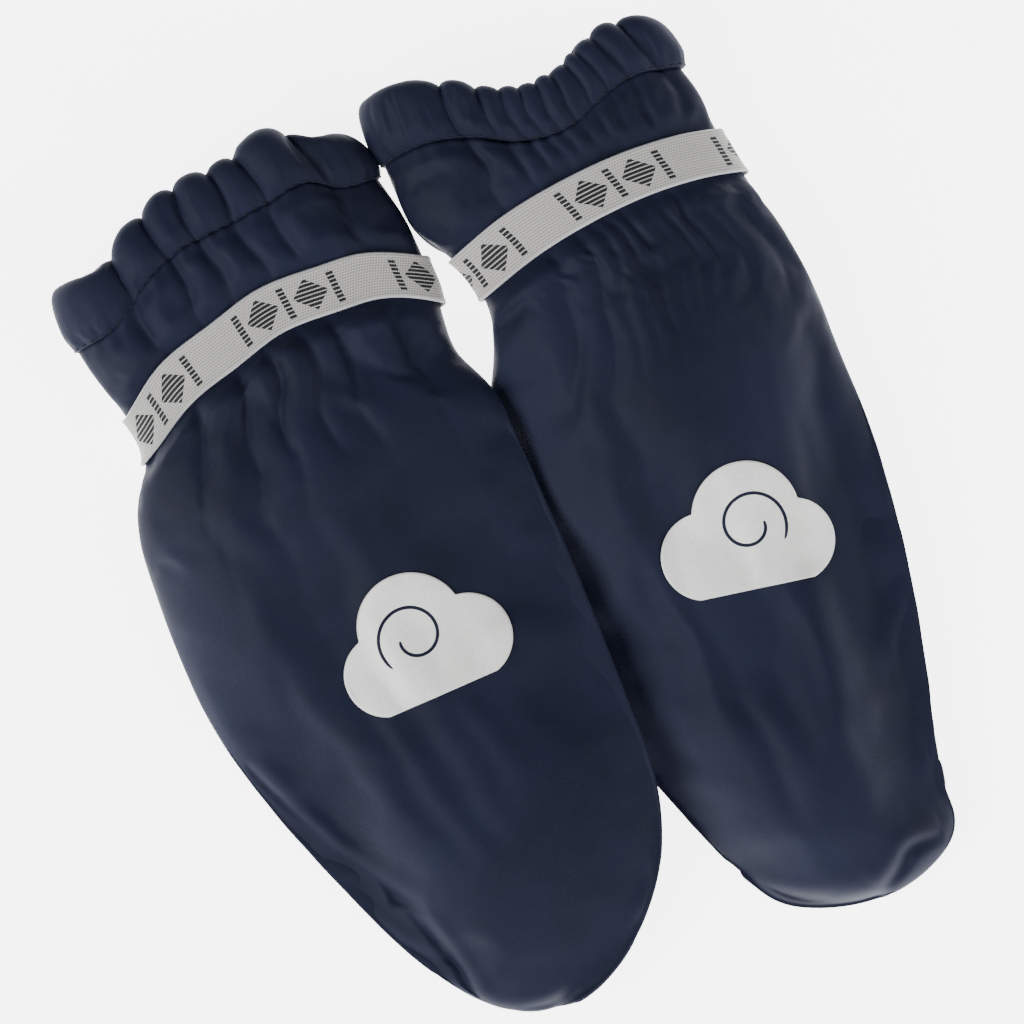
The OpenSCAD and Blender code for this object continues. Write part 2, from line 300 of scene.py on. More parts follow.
# %% [markdown]
# ## A grid that fits the outline
# A grid with straight rows would squeeze to nothing at the tip, and cloth on such cells creases
# badly. So the four sides of the grid are laid on the outline instead: the two side seams, the
# arc round the tip and the stitch line. The inside is blended from the four sides, which keeps
# every cell nearly square.

# %% Panels as grids
ACROSS = 76
ALONG = 138
CORNER_D = 15.0


def tip_arc(side, n):
    """Points along the outline from the left corner through the tip to the right one, evenly
    spaced by length."""
    d = CORNER_D * np.linspace(1, 0, 60)**2
    half = half_width(side, d)
    mid = middle(side, d)
    x = np.concatenate([mid - half, (mid + half)[-2::-1]])
    y = np.concatenate([d, d[-2::-1]])
    run = run_along(np.stack([x, y], -1))
    at = np.linspace(0, run[-1], n)
    return np.stack([np.interp(at, run, x), np.interp(at, run, y)], -1)


def panel_grid(side, front):
    """Points of one panel. The plan is the sum of the blends between opposite sides, less the
    blend between the four corners. The height is the panel's height over each point."""
    s = np.linspace(0, 1, ACROSS)[None, :, None]
    t = np.linspace(0, 1, ALONG)[:, None, None]
    line = np.array(SHAPE[side]["casing"], float)
    edges = []
    for sign, end in ((-1, line[0]), (1, line[-1])):
        d = CORNER_D + (casing_line(side, front, PLACE[side]["x"] + end[0]) - CORNER_D) * t[:, 0, 0]
        edges.append(np.stack([middle(side, d) + sign * half_width(side, d), d], -1)[:, None])
    left, right = edges
    bottom = tip_arc(side, ACROSS)[None]
    top_x = left[-1, 0, 0] + (right[-1, 0, 0] - left[-1, 0, 0]) * s[0, :, 0]
    reach = (line[-1, 0] - line[0, 0]) * s[0, :, 0] + line[0, 0] + PLACE[side]["x"]
    top = np.stack([top_x, casing_line(side, front, reach)], -1)[None]
    corners = ((1 - s) * (1 - t) * left[0, 0] + s * (1 - t) * right[0, 0]
               + (1 - s) * t * left[-1, 0] + s * t * right[-1, 0])
    plan = (1 - s) * left + s * right + (1 - t) * bottom + t * top - corners
    x, d = plan[..., 0], plan[..., 1]
    return np.stack([x, d + PLACE[side]["tip"], panel_height(side, front, x, d)], -1)


base = {(side, front): panel_grid(side, front) for side in SIDES for front in (True, False)}
for key, grid in base.items():
    print(key, "low", np.round(grid.min((0, 1)), 1), "high", np.round(grid.max((0, 1)), 1))

# %% [markdown]
# ## Gathers
# Elastic draws the fabric together, so it stands up in round puffs with sharp valleys between
# them. The valleys run down from the cuff's edge through the stitch line to the strap, and below
# the strap they open into soft folds that die out on the hand. A list of valleys for each panel
# gives an uneven, natural spacing. The puffs are added to the surface before the cloth is run.

# %% Puffs between valleys
VALLEYS = {
    ("left", True): [-49, -25, -12.5, -3.5, 6.5, 15.5, 31, 48],
    ("left", False): [-48, -33, -21, -12, -3, 5, 14, 24, 35, 48],
    ("right", True): [-47, -18, -9.5, -4, 0.5, 5, 9.5, 14.5, 19, 25, 33, 47],
    ("right", False): [-47, -31, -19, -9, 0, 8, 17, 29, 47],
}
PUFF_RISE = 0.32
PUFF_WIDEST = 13.0
PUFF_POW = 0.62
PUFF_OWN = 0.2
LEAN = 0.18
WOBBLE, WOBBLE_D, WOBBLE_X = 0.8, 4.1, 9
STITCH_PINCH, PINCH_OVER = 0.7, 5
RISE_OVER = 7
BELOW_STRAP, BELOW_OVER = 1.5, 8
FADE = {"left": 29.0, "right": 31.0}
PUCKER, PUCKER_STEP, PUCKER_FADE = 0.32, 4.4, 2.6
DRIFT, DRIFT_X = 1.8, 7


def puffs(side, front, x, d):
    """Height of the puffs over the plain surface. Between two valleys a puff is a rounded arch,
    a power of 4 t (1 - t), as high as a share of its width. Past the stitch line they lean, and
    a sine of the place makes the valleys wander. Each puff has a height of its own."""
    stitch_d = PLACE[side]["stitch_d"]
    spread = half_width(side, stitch_d) / np.maximum(half_width(side, d), 1)
    at = (x - middle(side, d)) * spread + LEAN * np.maximum(0, d - casing_line(side, front, x))
    at = at + middle(side, stitch_d) - PLACE[side]["x"] + WOBBLE * np.sin(d / WOBBLE_D + at / WOBBLE_X)
    valleys = np.array(VALLEYS[side, front], float)
    i = np.clip(np.searchsorted(valleys, at) - 1, 0, len(valleys) - 2)
    width = valleys[i + 1] - valleys[i]
    t = np.clip((at - valleys[i]) / width, 0, 1)
    own = 1 + PUFF_OWN * np.sin(2.7 * i + (1 if front else 2))
    return PUFF_RISE * np.minimum(width, PUFF_WIDEST) * own * (4 * t * (1 - t)) ** PUFF_POW


def puckers(side, front, x, d):
    """Small ripples where the stitches draw the fabric in: a cosine across the mitten whose
    phase wanders, fading to both sides of the stitch line."""
    away = np.abs(d - casing_line(side, front, x))
    wave = np.cos(2 * math.pi * x / PUCKER_STEP + DRIFT * np.sin(x / DRIFT_X))
    return PUCKER * wave * np.exp(-away / PUCKER_FADE)


def puff_strength(side, front, x, d):
    """How much of the puffs shows at distance d: all of it between strap and stitch line, a
    pinch at each of them, and a fade below the strap."""
    strap = strap_line(side, front, x)
    stitch = casing_line(side, front, x)
    rise = smoothstep((d - strap - STRAP_W / 2 + 1) / RISE_OVER)
    pinch = STITCH_PINCH + (1 - STITCH_PINCH) * smoothstep((stitch - d) / PINCH_OVER)
    fade = np.exp(-np.maximum(0, strap - BELOW_OVER - d) / FADE[side])
    below = smoothstep((strap - STRAP_W / 2 + 1 - d) / BELOW_OVER) * fade
    return np.maximum(rise * pinch, BELOW_STRAP * below)


def gathered(side, front):
    """The panel's points with the puffs added along its normals."""
    grid = base[side, front]
    x, d = grid[..., 0], grid[..., 1] - PLACE[side]["tip"]
    out = grid_normals(grid) * (1 if front else -1)
    share = (x - middle(side, d)) / np.maximum(half_width(side, d), 1)
    edge = np.sqrt(np.clip(1 - share**2, 0, 1))
    lift = puffs(side, front, x, d) * puff_strength(side, front, x, d) + puckers(side, front, x, d)
    return grid + out * (lift * edge)[..., None]


start = {key: gathered(*key) for key in base}
print("puffs added:", {k: round(float(np.abs(start[k] - base[k]).max()), 1) for k in base})

# %% [markdown]
# ## Padded fabric by cloth simulation
# The front and the back are joined along the seam into one bag, and Blender's cloth blows it up
# a little. The fabric is cut about two percent larger than the form it fills, so it buckles into
# creases where it is held: along the seam, below the strap and at the stitch line. Gravity is
# off, because the wadding carries the fabric. Afterwards the result is kept as plain points.

# %% Twice as many points
def refined(grid, axes=(0, 1), curved=True):
    """A grid with a new point half way between all neighbours along each of the axes. A curved
    one is nine sixteenths of its two near neighbours less one sixteenth of the two beyond, so it
    lies on a smooth curve through them. Otherwise it is the mean of the two near ones."""
    for axis in axes:
        rows = np.moveaxis(grid, axis, 0)
        between = (rows[1:] + rows[:-1]) / 2
        if curved:
            wide = np.concatenate([2 * rows[:1] - rows[1:2], rows, 2 * rows[-1:] - rows[-2:-1]])
            between = (9 * (wide[1:-2] + wide[2:-1]) - (wide[:-3] + wide[3:])) / 16
        both = np.empty((len(rows) + len(between),) + rows.shape[1:])
        both[0::2] = rows
        both[1::2] = between
        grid = np.moveaxis(both, 0, axis)
    return grid


# %% Sew the panels into a bag
def bag_of(side):
    """Points of both panels with the shared seam points kept once, and the quads of the bag.
    Returns also the index of each grid point in the list of points, front first."""
    front, back = start[side, True], start[side, False]
    rows, cols = front.shape[:2]
    front_at = np.arange(rows * cols).reshape(rows, cols)
    inside = np.zeros((rows, cols), bool)
    inside[1:, 1:-1] = True
    back_at = front_at.copy()
    back_at[inside] = rows * cols + np.arange(inside.sum())
    points = np.concatenate([front.reshape(-1, 3), back[inside]])
    seam = ~inside
    points[front_at[seam]] = (front[seam] + back[seam]) / 2
    quads = grid_quads(rows, cols)
    quads = np.concatenate([front_at.ravel()[quads], back_at.ravel()[quads[:, ::-1]]])
    return points, quads, front_at, back_at


SEAM_GRIP = 0.6
STRAP_GRIP_OVER = 1.5


def hold(side, front_at, back_at, count):
    """How firmly each point is held, 0 to 1: fully at the stitch line and under the strap,
    partly along the seam."""
    grip = np.zeros(count)
    for front, at in ((True, front_at), (False, back_at)):
        grid = start[side, front]
        x, d = grid[..., 0], grid[..., 1] - PLACE[side]["tip"]
        off = np.abs(d - strap_line(side, front, x)) - STRAP_W / 2 + 1
        grip[at] = np.maximum(grip[at], 1 - smoothstep(off / STRAP_GRIP_OVER))
    for at in (front_at, back_at):
        grip[at[:, [0, -1]]] = np.maximum(grip[at[:, [0, -1]]], SEAM_GRIP)
        grip[at[0]] = np.maximum(grip[at[0]], SEAM_GRIP)
        grip[at[-1]] = 1.0
    return grip


# Extra size of the fabric, pressure inside the bag, number of frames and the farthest move in mm
GROWTH, PRESSURE, CLOTH_FRAMES = 0.019, 3.5, 20
MOVE_MAX = 7.0
# Light padded fabric that bends easily and stretches little
CLOTH = {
    "quality": 5,
    "mass": 0.15,
    "tension_stiffness": 20,
    "compression_stiffness": 10,
    "shear_stiffness": 8,
    "bending_stiffness": 1.5,
    "use_pressure": True,
    "vertex_group_mass": "held",
    "pin_stiffness": 1.0,
}


def run_cloth(name, points, quads, grip, growth, pressure, frames):
    """Blows up a closed or open mesh as cloth and returns its points, moved by MOVE_MAX at most.
    'grip' holds each point in its place, 0 to 1."""
    piece = put_mesh(name, points, quads)
    group = piece.vertex_groups.new(name="held")
    for level in np.unique(np.round(grip, 1)):
        if level > 0:
            group.add(np.flatnonzero(np.round(grip, 1) == level).tolist(), float(level), "REPLACE")
    cloth = piece.modifiers.new("cloth", "CLOTH")
    cloth.point_cache.frame_end = frames
    cloth.settings.effector_weights.gravity = 0
    for key, value in {**CLOTH, "uniform_pressure_force": pressure, "shrink_min": -growth}.items():
        setattr(cloth.settings, key, value)
    for frame_no in range(1, frames + 1):
        bpy.context.scene.frame_set(frame_no)
    done = piece.evaluated_get(bpy.context.evaluated_depsgraph_get()).to_mesh()
    moved = np.empty(len(points) * 3)
    done.vertices.foreach_get("co", moved)
    moved = moved.reshape(-1, 3) / MM - points
    bpy.data.objects.remove(piece, do_unlink=True)
    bpy.context.scene.frame_set(1)
    far = np.linalg.norm(moved, axis=1, keepdims=True)
    print(name, "moved mean", round(float(far.mean()), 2), "most", round(float(far.max()), 2), "mm")
    return points + moved * np.minimum(1, MOVE_MAX / np.maximum(far, 1e-6))


def smooth_edges(grid, passes):
    """Each pass moves every point of the two seams and of the arc round the tip half way to the
    mean of its two neighbours along the edge."""
    grid = grid.copy()
    rows, cols = len(grid) - 1, grid.shape[1]
    edge = np.concatenate([grid[:0:-1, 0], grid[0], grid[1:, -1]])
    for _ in range(passes):
        edge[1:-1] = edge[1:-1] / 2 + (edge[2:] + edge[:-2]) / 4
    grid[:0:-1, 0] = edge[:rows]
    grid[0] = edge[rows:rows + cols]
    grid[1:, -1] = edge[rows + cols:]
    return grid


# The calm part starts 26 mm below the strap and is full 40 mm farther on
EDGE_PASSES = 5
CALM_FROM, CALM_OVER, CALM_PASSES = 26.0, 40.0, 8


def calmed(side, grid):
    """The wadding takes small creases out of the fabric, but not near the strap: a panel blended
    towards a smoothed copy of itself, the more the farther it is below the strap."""
    x, d = grid[..., 0], grid[..., 1] - PLACE[side]["tip"]
    share = smoothstep((strap_line(side, True, x) - CALM_FROM - d) / CALM_OVER)[..., None]
    grid = smooth_grid(smooth_edges(grid, EDGE_PASSES), 1)
    return grid + (smooth_grid(grid, CALM_PASSES) - grid) * share


def blow_up(side):
    """Runs the cloth on one mitten and returns its panels as grids."""
    points, quads, front_at, back_at = bag_of(side)
    grip = hold(side, front_at, back_at, len(points))
    points = run_cloth(side + "_bag", points, quads, grip, GROWTH, PRESSURE, CLOTH_FRAMES)
    pair = ((True, front_at), (False, back_at))
    return {front: refined(calmed(side, points[at])) for front, at in pair}


blown = {side: blow_up(side) for side in SIDES}

# %% [markdown]
# ## Folds at the tip
# Near the tip the padding is thin and the seam rolls a little onto the top, so the fabric lies
# in a few deep folds that always run the same way. These are added to the cloth's result: each is
# a groove along a path, with a soft ridge on the side that faces the middle of the mitten.

# %% Grooves along paths
# Each fold is a path, its depth, its half width and the height of its ridge, in millimetres
MITTEN_MIDDLE = (0.0, 60.0)
RIDGE_OFF, RIDGE_WIDE = 2.4, 1.6
# A fold stops this far above the back panel, and no ridge rises where the panels are closer
FOLD_ROOM = 2.4
FOLDS = {
    "left": [
        ([(-47, 88), (-41, 70), (-35, 56), (-28, 45.5), (-19, 36)], 2.8, 1.7, 1.3),
        ([(-23, 38), (-19, 26), (-16.5, 9)], 1.6, 1.3, 0.8),
        ([(40, 30), (38, 21), (32, 14), (21, 5)], 0.9, 1.2, 0.3),
        ([(-8, 3), (0, 1.5), (8, 3.5)], 0.8, 1.2, 0.3),
    ],
    "right": [
        ([(-28, 15.5), (-19, 8.5), (-10, 4.5)], 1.4, 1.5, 0.6),
        ([(22, 9), (13, 9.5), (9.5, 5.5), (2, 2)], 1.9, 1.6, 1.0),
        ([(33, 62), (31, 42), (27, 22)], 0.9, 1.3, 0.4),
    ],
}


def rounded(path, passes=3):
    """A path with its corners cut off: each pass puts new points at a quarter and at three
    quarters of every piece and keeps only the two ends of the old ones."""
    path = np.array(path, float)
    for _ in range(passes):
        a, b = path[:-1], path[1:]
        cut = np.stack([a * 0.75 + b * 0.25, a * 0.25 + b * 0.75], 1).reshape(-1, 2)
        path = np.concatenate([path[:1], cut, path[-1:]])
    return path


def fold_height(x, d, path, deep, wide, ridge):
    """Height that one fold adds. The distance to each piece of the path is the length from the
    point to its foot on that piece, and the nearest one counts. The groove is a bell curve of the
    distance, the ridge another one beside it, on the side of the mitten's middle, and both fade
    towards the path's ends."""
    path = rounded(path)
    a, b = path[:-1], path[1:]
    run = run_along(path)
    point = np.stack([x, d], -1)[..., None, :]
    share = np.clip(((point - a) * (b - a)).sum(-1) / ((b - a)**2).sum(-1), 0, 1)
    off = point - a - share[..., None] * (b - a)
    gap = np.linalg.norm(off, axis=-1)
    to_middle = np.array(MITTEN_MIDDLE) - a
    turn = (b - a)[:, 0] * off[..., 1] - (b - a)[:, 1] * off[..., 0]
    turn = turn * np.sign((b - a)[:, 0] * to_middle[:, 1] - (b - a)[:, 1] * to_middle[:, 0])
    nearest = gap.argmin(-1)[..., None]
    gap = np.take_along_axis(gap, nearest, -1)[..., 0]
    turn = np.take_along_axis(turn, nearest, -1)[..., 0]
    at = np.take_along_axis(run[:-1] + share * np.diff(run), nearest, -1)[..., 0] / run[-1]
    fade = np.sin(math.pi * np.clip(at, 0, 1))
    beside = np.exp(-((gap - RIDGE_OFF * wide) / (RIDGE_WIDE * wide))**2) * (turn > 0)
    return (ridge * beside - deep * np.exp(-(gap / wide)**2)) * np.sqrt(fade)


for side in SIDES:
    grid = blown[side][True]
    x, d = grid[..., 0] - PLACE[side]["x"], grid[..., 1] - PLACE[side]["tip"]
    added = sum(fold_height(x, d, *fold) for fold in FOLDS[side])
    room = np.maximum(grid[..., 2] - blown[side][False][..., 2], 0)
    added = np.where(added > 0, added * smoothstep(room / FOLD_ROOM), added)
    grid[..., 2] += np.maximum(added, -np.maximum(room - FOLD_ROOM, 0.0))
    print(side, "folds from", round(float(added.min()), 1), "to", round(float(added.max()), 1), "mm")

# %% [markdown]
# ## Lying on the table and on each other
# The cloth knows nothing of the table or of the other mitten. Its underside is therefore held
# above the table with a soft limit, so that it flattens where it rests. Then the left mitten is
# lifted, point by point, off the right one's top, whose height is kept as a map of small cells.

# %% Height maps and soft limits
CELL = 0.8
UNKNOWN = -100.0
NEIGHBOURS = ((1, 0), (-1, 0), (1, 1), (-1, 1))


def mean_around(height):
    """Mean of the known cells among each cell's four neighbours, and whether there is one."""
    around = [np.roll(height, shift, axis) for shift, axis in NEIGHBOURS]
    known = [near > UNKNOWN / 2 for near in around]
    total = sum(np.where(k, near, 0) for k, near in zip(known, around))
    return total / np.maximum(sum(known), 1), sum(known) > 0


def height_map(grid, smooth=2):
    """Mean height of a panel in square cells of the plan. The grid is refined first, so that no
    cell stays empty. Returns the cells' heights and the corner of the map."""
    points = refined(grid, (0, 1, 0, 1), curved=False).reshape(-1, 3)
    corner = points[:, :2].min(0) - 2 * CELL
    cells = ((points[:, :2] - corner) / CELL).astype(int)
    shape = cells.max(0) + 3
    flat = cells[:, 0] * shape[1] + cells[:, 1]
    count = np.bincount(flat, minlength=shape.prod()).reshape(shape)
    total = np.bincount(flat, points[:, 2], minlength=shape.prod()).reshape(shape)
    height = np.where(count > 0, total / np.maximum(count, 1), UNKNOWN)
    for _ in range(smooth):
        mean, near = mean_around(height)
        height = np.where((height > UNKNOWN / 2) & near, (height + mean) / 2, height)
    return height, corner


def grown(the_map, passes):
    """The map with its edge carried outwards: each pass gives every unknown cell beside a known
    one the mean of its known neighbours."""
    height, corner = the_map
    for _ in range(passes):
        mean, near = mean_around(height)
        height = np.where((height <= UNKNOWN / 2) & near, mean, height)
    return height, corner


def farthest(the_map, front, passes):
    """The map with each known cell set to the lowest of itself and its four known neighbours, or
    to the highest for a back panel. Each pass reaches one cell farther."""
    height, corner = the_map
    worse = np.minimum if front else np.maximum
    for _ in range(passes):
        for shift, axis in NEIGHBOURS:
            near = np.roll(height, shift, axis)
            known = (height > UNKNOWN / 2) & (near > UNKNOWN / 2)
            height = np.where(known, worse(height, near), height)
    return height, corner


def height_at(the_map, x, y):
    """Height of the map at each place, blended between the four cells around it."""
    height, corner = the_map
    u = np.clip((x - corner[0]) / CELL - 0.5, 0, height.shape[0] - 1.001)
    v = np.clip((y - corner[1]) / CELL - 0.5, 0, height.shape[1] - 1.001)
    i, j = u.astype(int), v.astype(int)
    fu, fv = u - i, v - j
    return ((1 - fu) * (1 - fv) * height[i, j] + fu * (1 - fv) * height[i + 1, j]
            + (1 - fu) * fv * height[i, j + 1] + fu * fv * height[i + 1, j + 1])


def above(z, limit, soft=1.2):
    """z kept above a limit. Within 'soft' of the limit it bends smoothly instead of at once."""
    over = z - limit
    return np.where(over > soft, z, limit + soft * np.exp(np.minimum(over / soft - 1, 0)))


# Height of the underside over the table, gap between the mittens, share of the lift that reaches
# the left front, its least height over the right mitten, and the columns at its edge that have less
TABLE = 0.35
LAP_GAP, LAP_SOFT = 0.6, 0.8
LAP_SHARE, LAP_LEAST, LAP_EDGE = 0.85, 1.5, 12
for side in SIDES:
    for front in (True, False):
        grid = smooth_grid(blown[side][front], 1)
        grid[..., 2] = above(grid[..., 2], TABLE)
        blown[side][front] = grid
right_top = height_map(blown["right"][True])
under, over = blown["left"][False], blown["left"][True]
floor = height_at(right_top, under[..., 0], under[..., 1]) + LAP_GAP
lift = np.where(floor > 0, above(under[..., 2], floor, LAP_SOFT) - under[..., 2], 0)
under[..., 2] += lift
over[..., 2] += lift * LAP_SHARE
columns = np.arange(over.shape[1])
edge_share = smoothstep(np.minimum(columns, columns[::-1]) / LAP_EDGE)
floor = height_at(right_top, over[..., 0], over[..., 1]) + LAP_GAP
raised = above(over[..., 2], floor + LAP_LEAST * edge_share, LAP_SOFT)
over[..., 2] = np.where(floor > 0, raised, over[..., 2])
print("left mitten lifted by up to", round(float(lift.max()), 2), "mm where it laps")

# %% [markdown]
# ## The shell's two panels
# The outer fabric is a thin coated weave. Each panel is one sheet of the blown-up bag, given
# its thickness on the inside by Solidify. Past the stitch line it dips in under the casing, so
# that the seam is a narrow groove.

# %% Panels with a thickness
SHELL_T = 0.6
DIP_ON, DIP_IN = 0.9, 1.4


def dipped(grid, front):
    """The panel with one more row past the stitch line, a little inside the surface."""
    out = grid_normals(grid)[-1] * (1 if front else -1)
    return np.concatenate([grid, (grid[-1] + [0, DIP_ON, 0] - out * DIP_IN)[None]])


def thicken(piece, thickness, offset):
    """Gives a sheet its thickness in millimetres: inward at offset -1, outward at offset 1."""
    wall = piece.modifiers.new("thickness", "SOLIDIFY")
    wall.thickness = thickness * MM
    wall.offset = offset


def finish_piece(piece, body, node, material):
    """Attaches a piece to the body it rides on, if one is given, hides the CAD node that it replaces,
    and gives it its material.
    """
    if body is not None:
        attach(piece, body)
    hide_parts(node)
    piece.data.materials.append(bpy.data.materials.get(material) or bpy.data.materials.new(material))


def across_fold(piece):
    """Moves the piece's placement into its points and leaves it at the identity transform."""
    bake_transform(piece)


for side in SIDES:
    for front in (True, False):
        grid = dipped(blown[side][front], front)
        node = side + ("_front_shell" if front else "_back_shell")
        piece = put_mesh(node + "_fabric", grid, grid_quads(*grid.shape[:2], flip=not front))
        thicken(piece, SHELL_T, -1)
        finish_piece(piece, None, node, "coated_polyester")
        across_fold(piece)
        print(piece.name, len(piece.data.polygons), "quads")

# %% [markdown]
# ## Wadding and lining
# Under each panel lies a sheet of wadding, and inside them a fleece bag takes the hand. They are
# seen only through the cuff's opening. Each sheet is made of two copies of the panel, moved
# towards the middle of the mitten by its depth, and joined round the edge.

# %% Inner layers
# Depth under the panel and inset at its edge, for the two faces of each layer
WADDING_FACES = ((1.2, 6.0), (3.2, 7.0))
LINING_FACES = ((3.6, 7.6), (4.8, 8.6))
# The wadding ends this many rows before the stitch line
RIM_ROWS = 2
# Least gap to the shell, what each millimetre of depth adds to it, and the depth with none at all
LAYER_CLEAR, LAYER_STEP, LAYER_MIDDLE, LAYER_LOST = 0.25, 0.05, 5, 9
# Cells that a tight map looks round, and cells that it is carried beyond the panel's edge
LAYER_REACH, MAP_MARGIN = 4, 12
shell_map = {(side, front): height_map(blown[side][front]) for side in SIDES for front in (True, False)}
near_map = {key: grown(shell_map[key], MAP_MARGIN) for key in shell_map}
tight_map = {key: grown(farthest(shell_map[key], key[1], LAYER_REACH), MAP_MARGIN) for key in shell_map}


def hollows(grid, front):
    """A panel whose every point is as deep as the deepest one near it, so that a smooth layer
    drawn under it stays below its folds."""
    grid = grid.copy()
    deepest = np.minimum if front else np.maximum
    z = grid[..., 2]
    for _ in range(3):
        z = deepest(z, deepest(np.roll(z, 1, 1), np.roll(z, -1, 1)))
        z[1:-1] = deepest(z[1:-1], deepest(z[2:], z[:-2]))
    grid[:, 3:-3, 2] = z[:, 3:-3]
    return grid


def inner_face(side, front, depth, inset, short=0):
    """A panel's points moved inward: down or up by 'depth', but never past the middle between
    the two panels, and towards the centre line by 'inset' at the edges. It ends 'short' rows
    before the stitch line. Last, it is kept between the tight maps of the two panels, or half way
    between them where they leave no room."""
    pair = [smooth_grid(hollows(blown[side][face][::2, ::2], face), 6) for face in (front, not front)]
    grid, other = [panel[::2, ::2][:(len(panel) + 1) // 2 - short] for panel in pair]
    between = (grid[..., 2] + other[..., 2]) / 2
    centre = grid[:, :1, :2] * 0.5 + grid[:, -1:, :2] * 0.5
    span = np.linalg.norm(grid[:, :1, :2] - centre, axis=-1, keepdims=True)
    grid[..., :2] = centre + (grid[..., :2] - centre) * (1 - inset / np.maximum(span, inset + 1))
    grid[..., 1] += np.linspace(inset, 0, len(grid))[:, None]
    sign = 1 if front else -1
    room = np.maximum(sign * (grid[..., 2] - between), 0.05)
    z = between + sign * np.maximum(room - depth, 0.5 * room * (1 - depth / LAYER_LOST))
    clear = SHELL_T + LAYER_CLEAR + LAYER_STEP * depth
    x, y = grid[..., 0], grid[..., 1]
    top = height_at(tight_map[side, True], x, y) - clear
    low = height_at(tight_map[side, False], x, y) + clear
    half_way = (height_at(near_map[side, True], x, y) + height_at(near_map[side, False], x, y)) / 2
    half_way = half_way + sign * LAYER_STEP * (LAYER_MIDDLE - depth)
    grid[..., 2] = np.where(top > low, np.clip(z, low, top), half_way)
    return grid


def sheet_between(outer, inner, front):
    """Points and quads of a closed sheet: its two faces and the strip round their edge."""
    rows, cols = outer.shape[:2]
    n = rows * cols
    faces = grid_quads(rows, cols, flip=not front)
    at = np.arange(n).reshape(rows, cols)
    rim = np.concatenate([at[0, :-1], at[:-1, -1], at[-1, :0:-1], at[:0:-1, 0]])
    after = np.roll(rim, -1)
    strip = np.stack([after, rim, rim + n, after + n], -1)
    strip = strip if front else strip[:, ::-1]
    points = np.concatenate([outer.reshape(-1, 3), inner.reshape(-1, 3)])
    return points, np.concatenate([faces, faces[:, ::-1] + n, strip])


for side in SIDES:
    lining_points, lining_quads = [], []
    for front in (True, False):
        faces = [inner_face(side, front, *face, RIM_ROWS) for face in WADDING_FACES]
        node = side + ("_front_padding" if front else "_back_padding")
        piece = put_mesh(node + "_sheet", *sheet_between(*faces, front))
        finish_piece(piece, None, node, "polyester_wadding")
        across_fold(piece)
        faces = [inner_face(side, front, *face) for face in LINING_FACES]
        points, quads = sheet_between(*faces, front)
        lining_quads.append(quads + sum(len(p) for p in lining_points))
        lining_points.append(points)
    piece = put_mesh(side + "_lining_bag", np.concatenate(lining_points), np.concatenate(lining_quads))
    finish_piece(piece, None, side + "_lining", "polar_fleece")
    across_fold(piece)
    print(piece.name, len(piece.data.polygons), "quads")

# %% [markdown]
# ## The casing and what it holds
# At the top the fabric is turned over into a hem with an elastic band inside. The hem is made as
# a ring: a closed rounded profile carried round the wrist, with the same puffs as the shell below
# it, so that each valley runs through. A row of small stitches closes it.

# %% A ring round the wrist
RING_STEPS = 420
CASING_T = 3.4
CASING_OUT = 0.2
# The hem is a little shorter at its right corner and longer at its left one, and draws in
CORNER_CUT, CORNER_RISE, TOP_TAPER = 0.16, 2.0, 0.06
HEM_MARGIN = 2.2
LOOP_STEPS = 36
# Powers of the hem's profile, and shares of the puff that go up and to the inside
ALONG_POW, OUT_POW = 0.75, 0.3
PUFF_UP, PUFF_IN = 0.7, 0.12


def wrist_ring(side):
    """Where the stitch line runs round the wrist: points at even steps, the outward direction
    at each, the height of the puffs there, and which of the points are on the front."""
    stitch_d = PLACE[side]["stitch_d"]
    half = half_width(side, stitch_d)
    turn = np.linspace(0, 2 * math.pi, 4001)
    run = run_along(np.stack([half * np.cos(turn), WRIST_HALF_T * np.sin(turn)], -1))
    turn = np.interp(np.arange(RING_STEPS) / RING_STEPS * run[-1], run, turn)
    x = middle(side, stitch_d) + half * np.cos(turn)
    z = PLACE[side]["wrist_z"] + WRIST_HALF_T * np.sin(turn)
    out = unit(np.stack([np.cos(turn) / half, 0 * turn, np.sin(turn) / WRIST_HALF_T], -1))
    on_front = np.sin(turn) >= 0
    d = np.where(on_front, casing_line(side, True, x), casing_line(side, False, x))
    return np.stack([x, d + PLACE[side]["tip"], z], -1), out, on_front, np.abs(np.sin(turn))


def puffs_round(side, ring, on_front, edge, along):
    """Height of the puffs round the wrist at a distance beyond the stitch line."""
    x, d = ring[:, 0], ring[:, 1] - PLACE[side]["tip"] + along
    both = np.where(on_front, puffs(side, True, x, d), puffs(side, False, x, d))
    small = np.where(on_front, puckers(side, True, x, d), puckers(side, False, x, d))
    return both * np.sqrt(np.clip(edge, 0, 1)) + small + 0.5 * (1 - edge)


def drawn_in(side, points, share):
    """Narrows the cuff towards its top edge, with the square of the share of the way up, and its
    right half twice as much as its left one."""
    off = points[:, 0] - middle(side, PLACE[side]["stitch_d"])
    points[:, 0] -= off * TOP_TAPER * share**2 * np.where(off > 0, 1, 0.5)
    return points


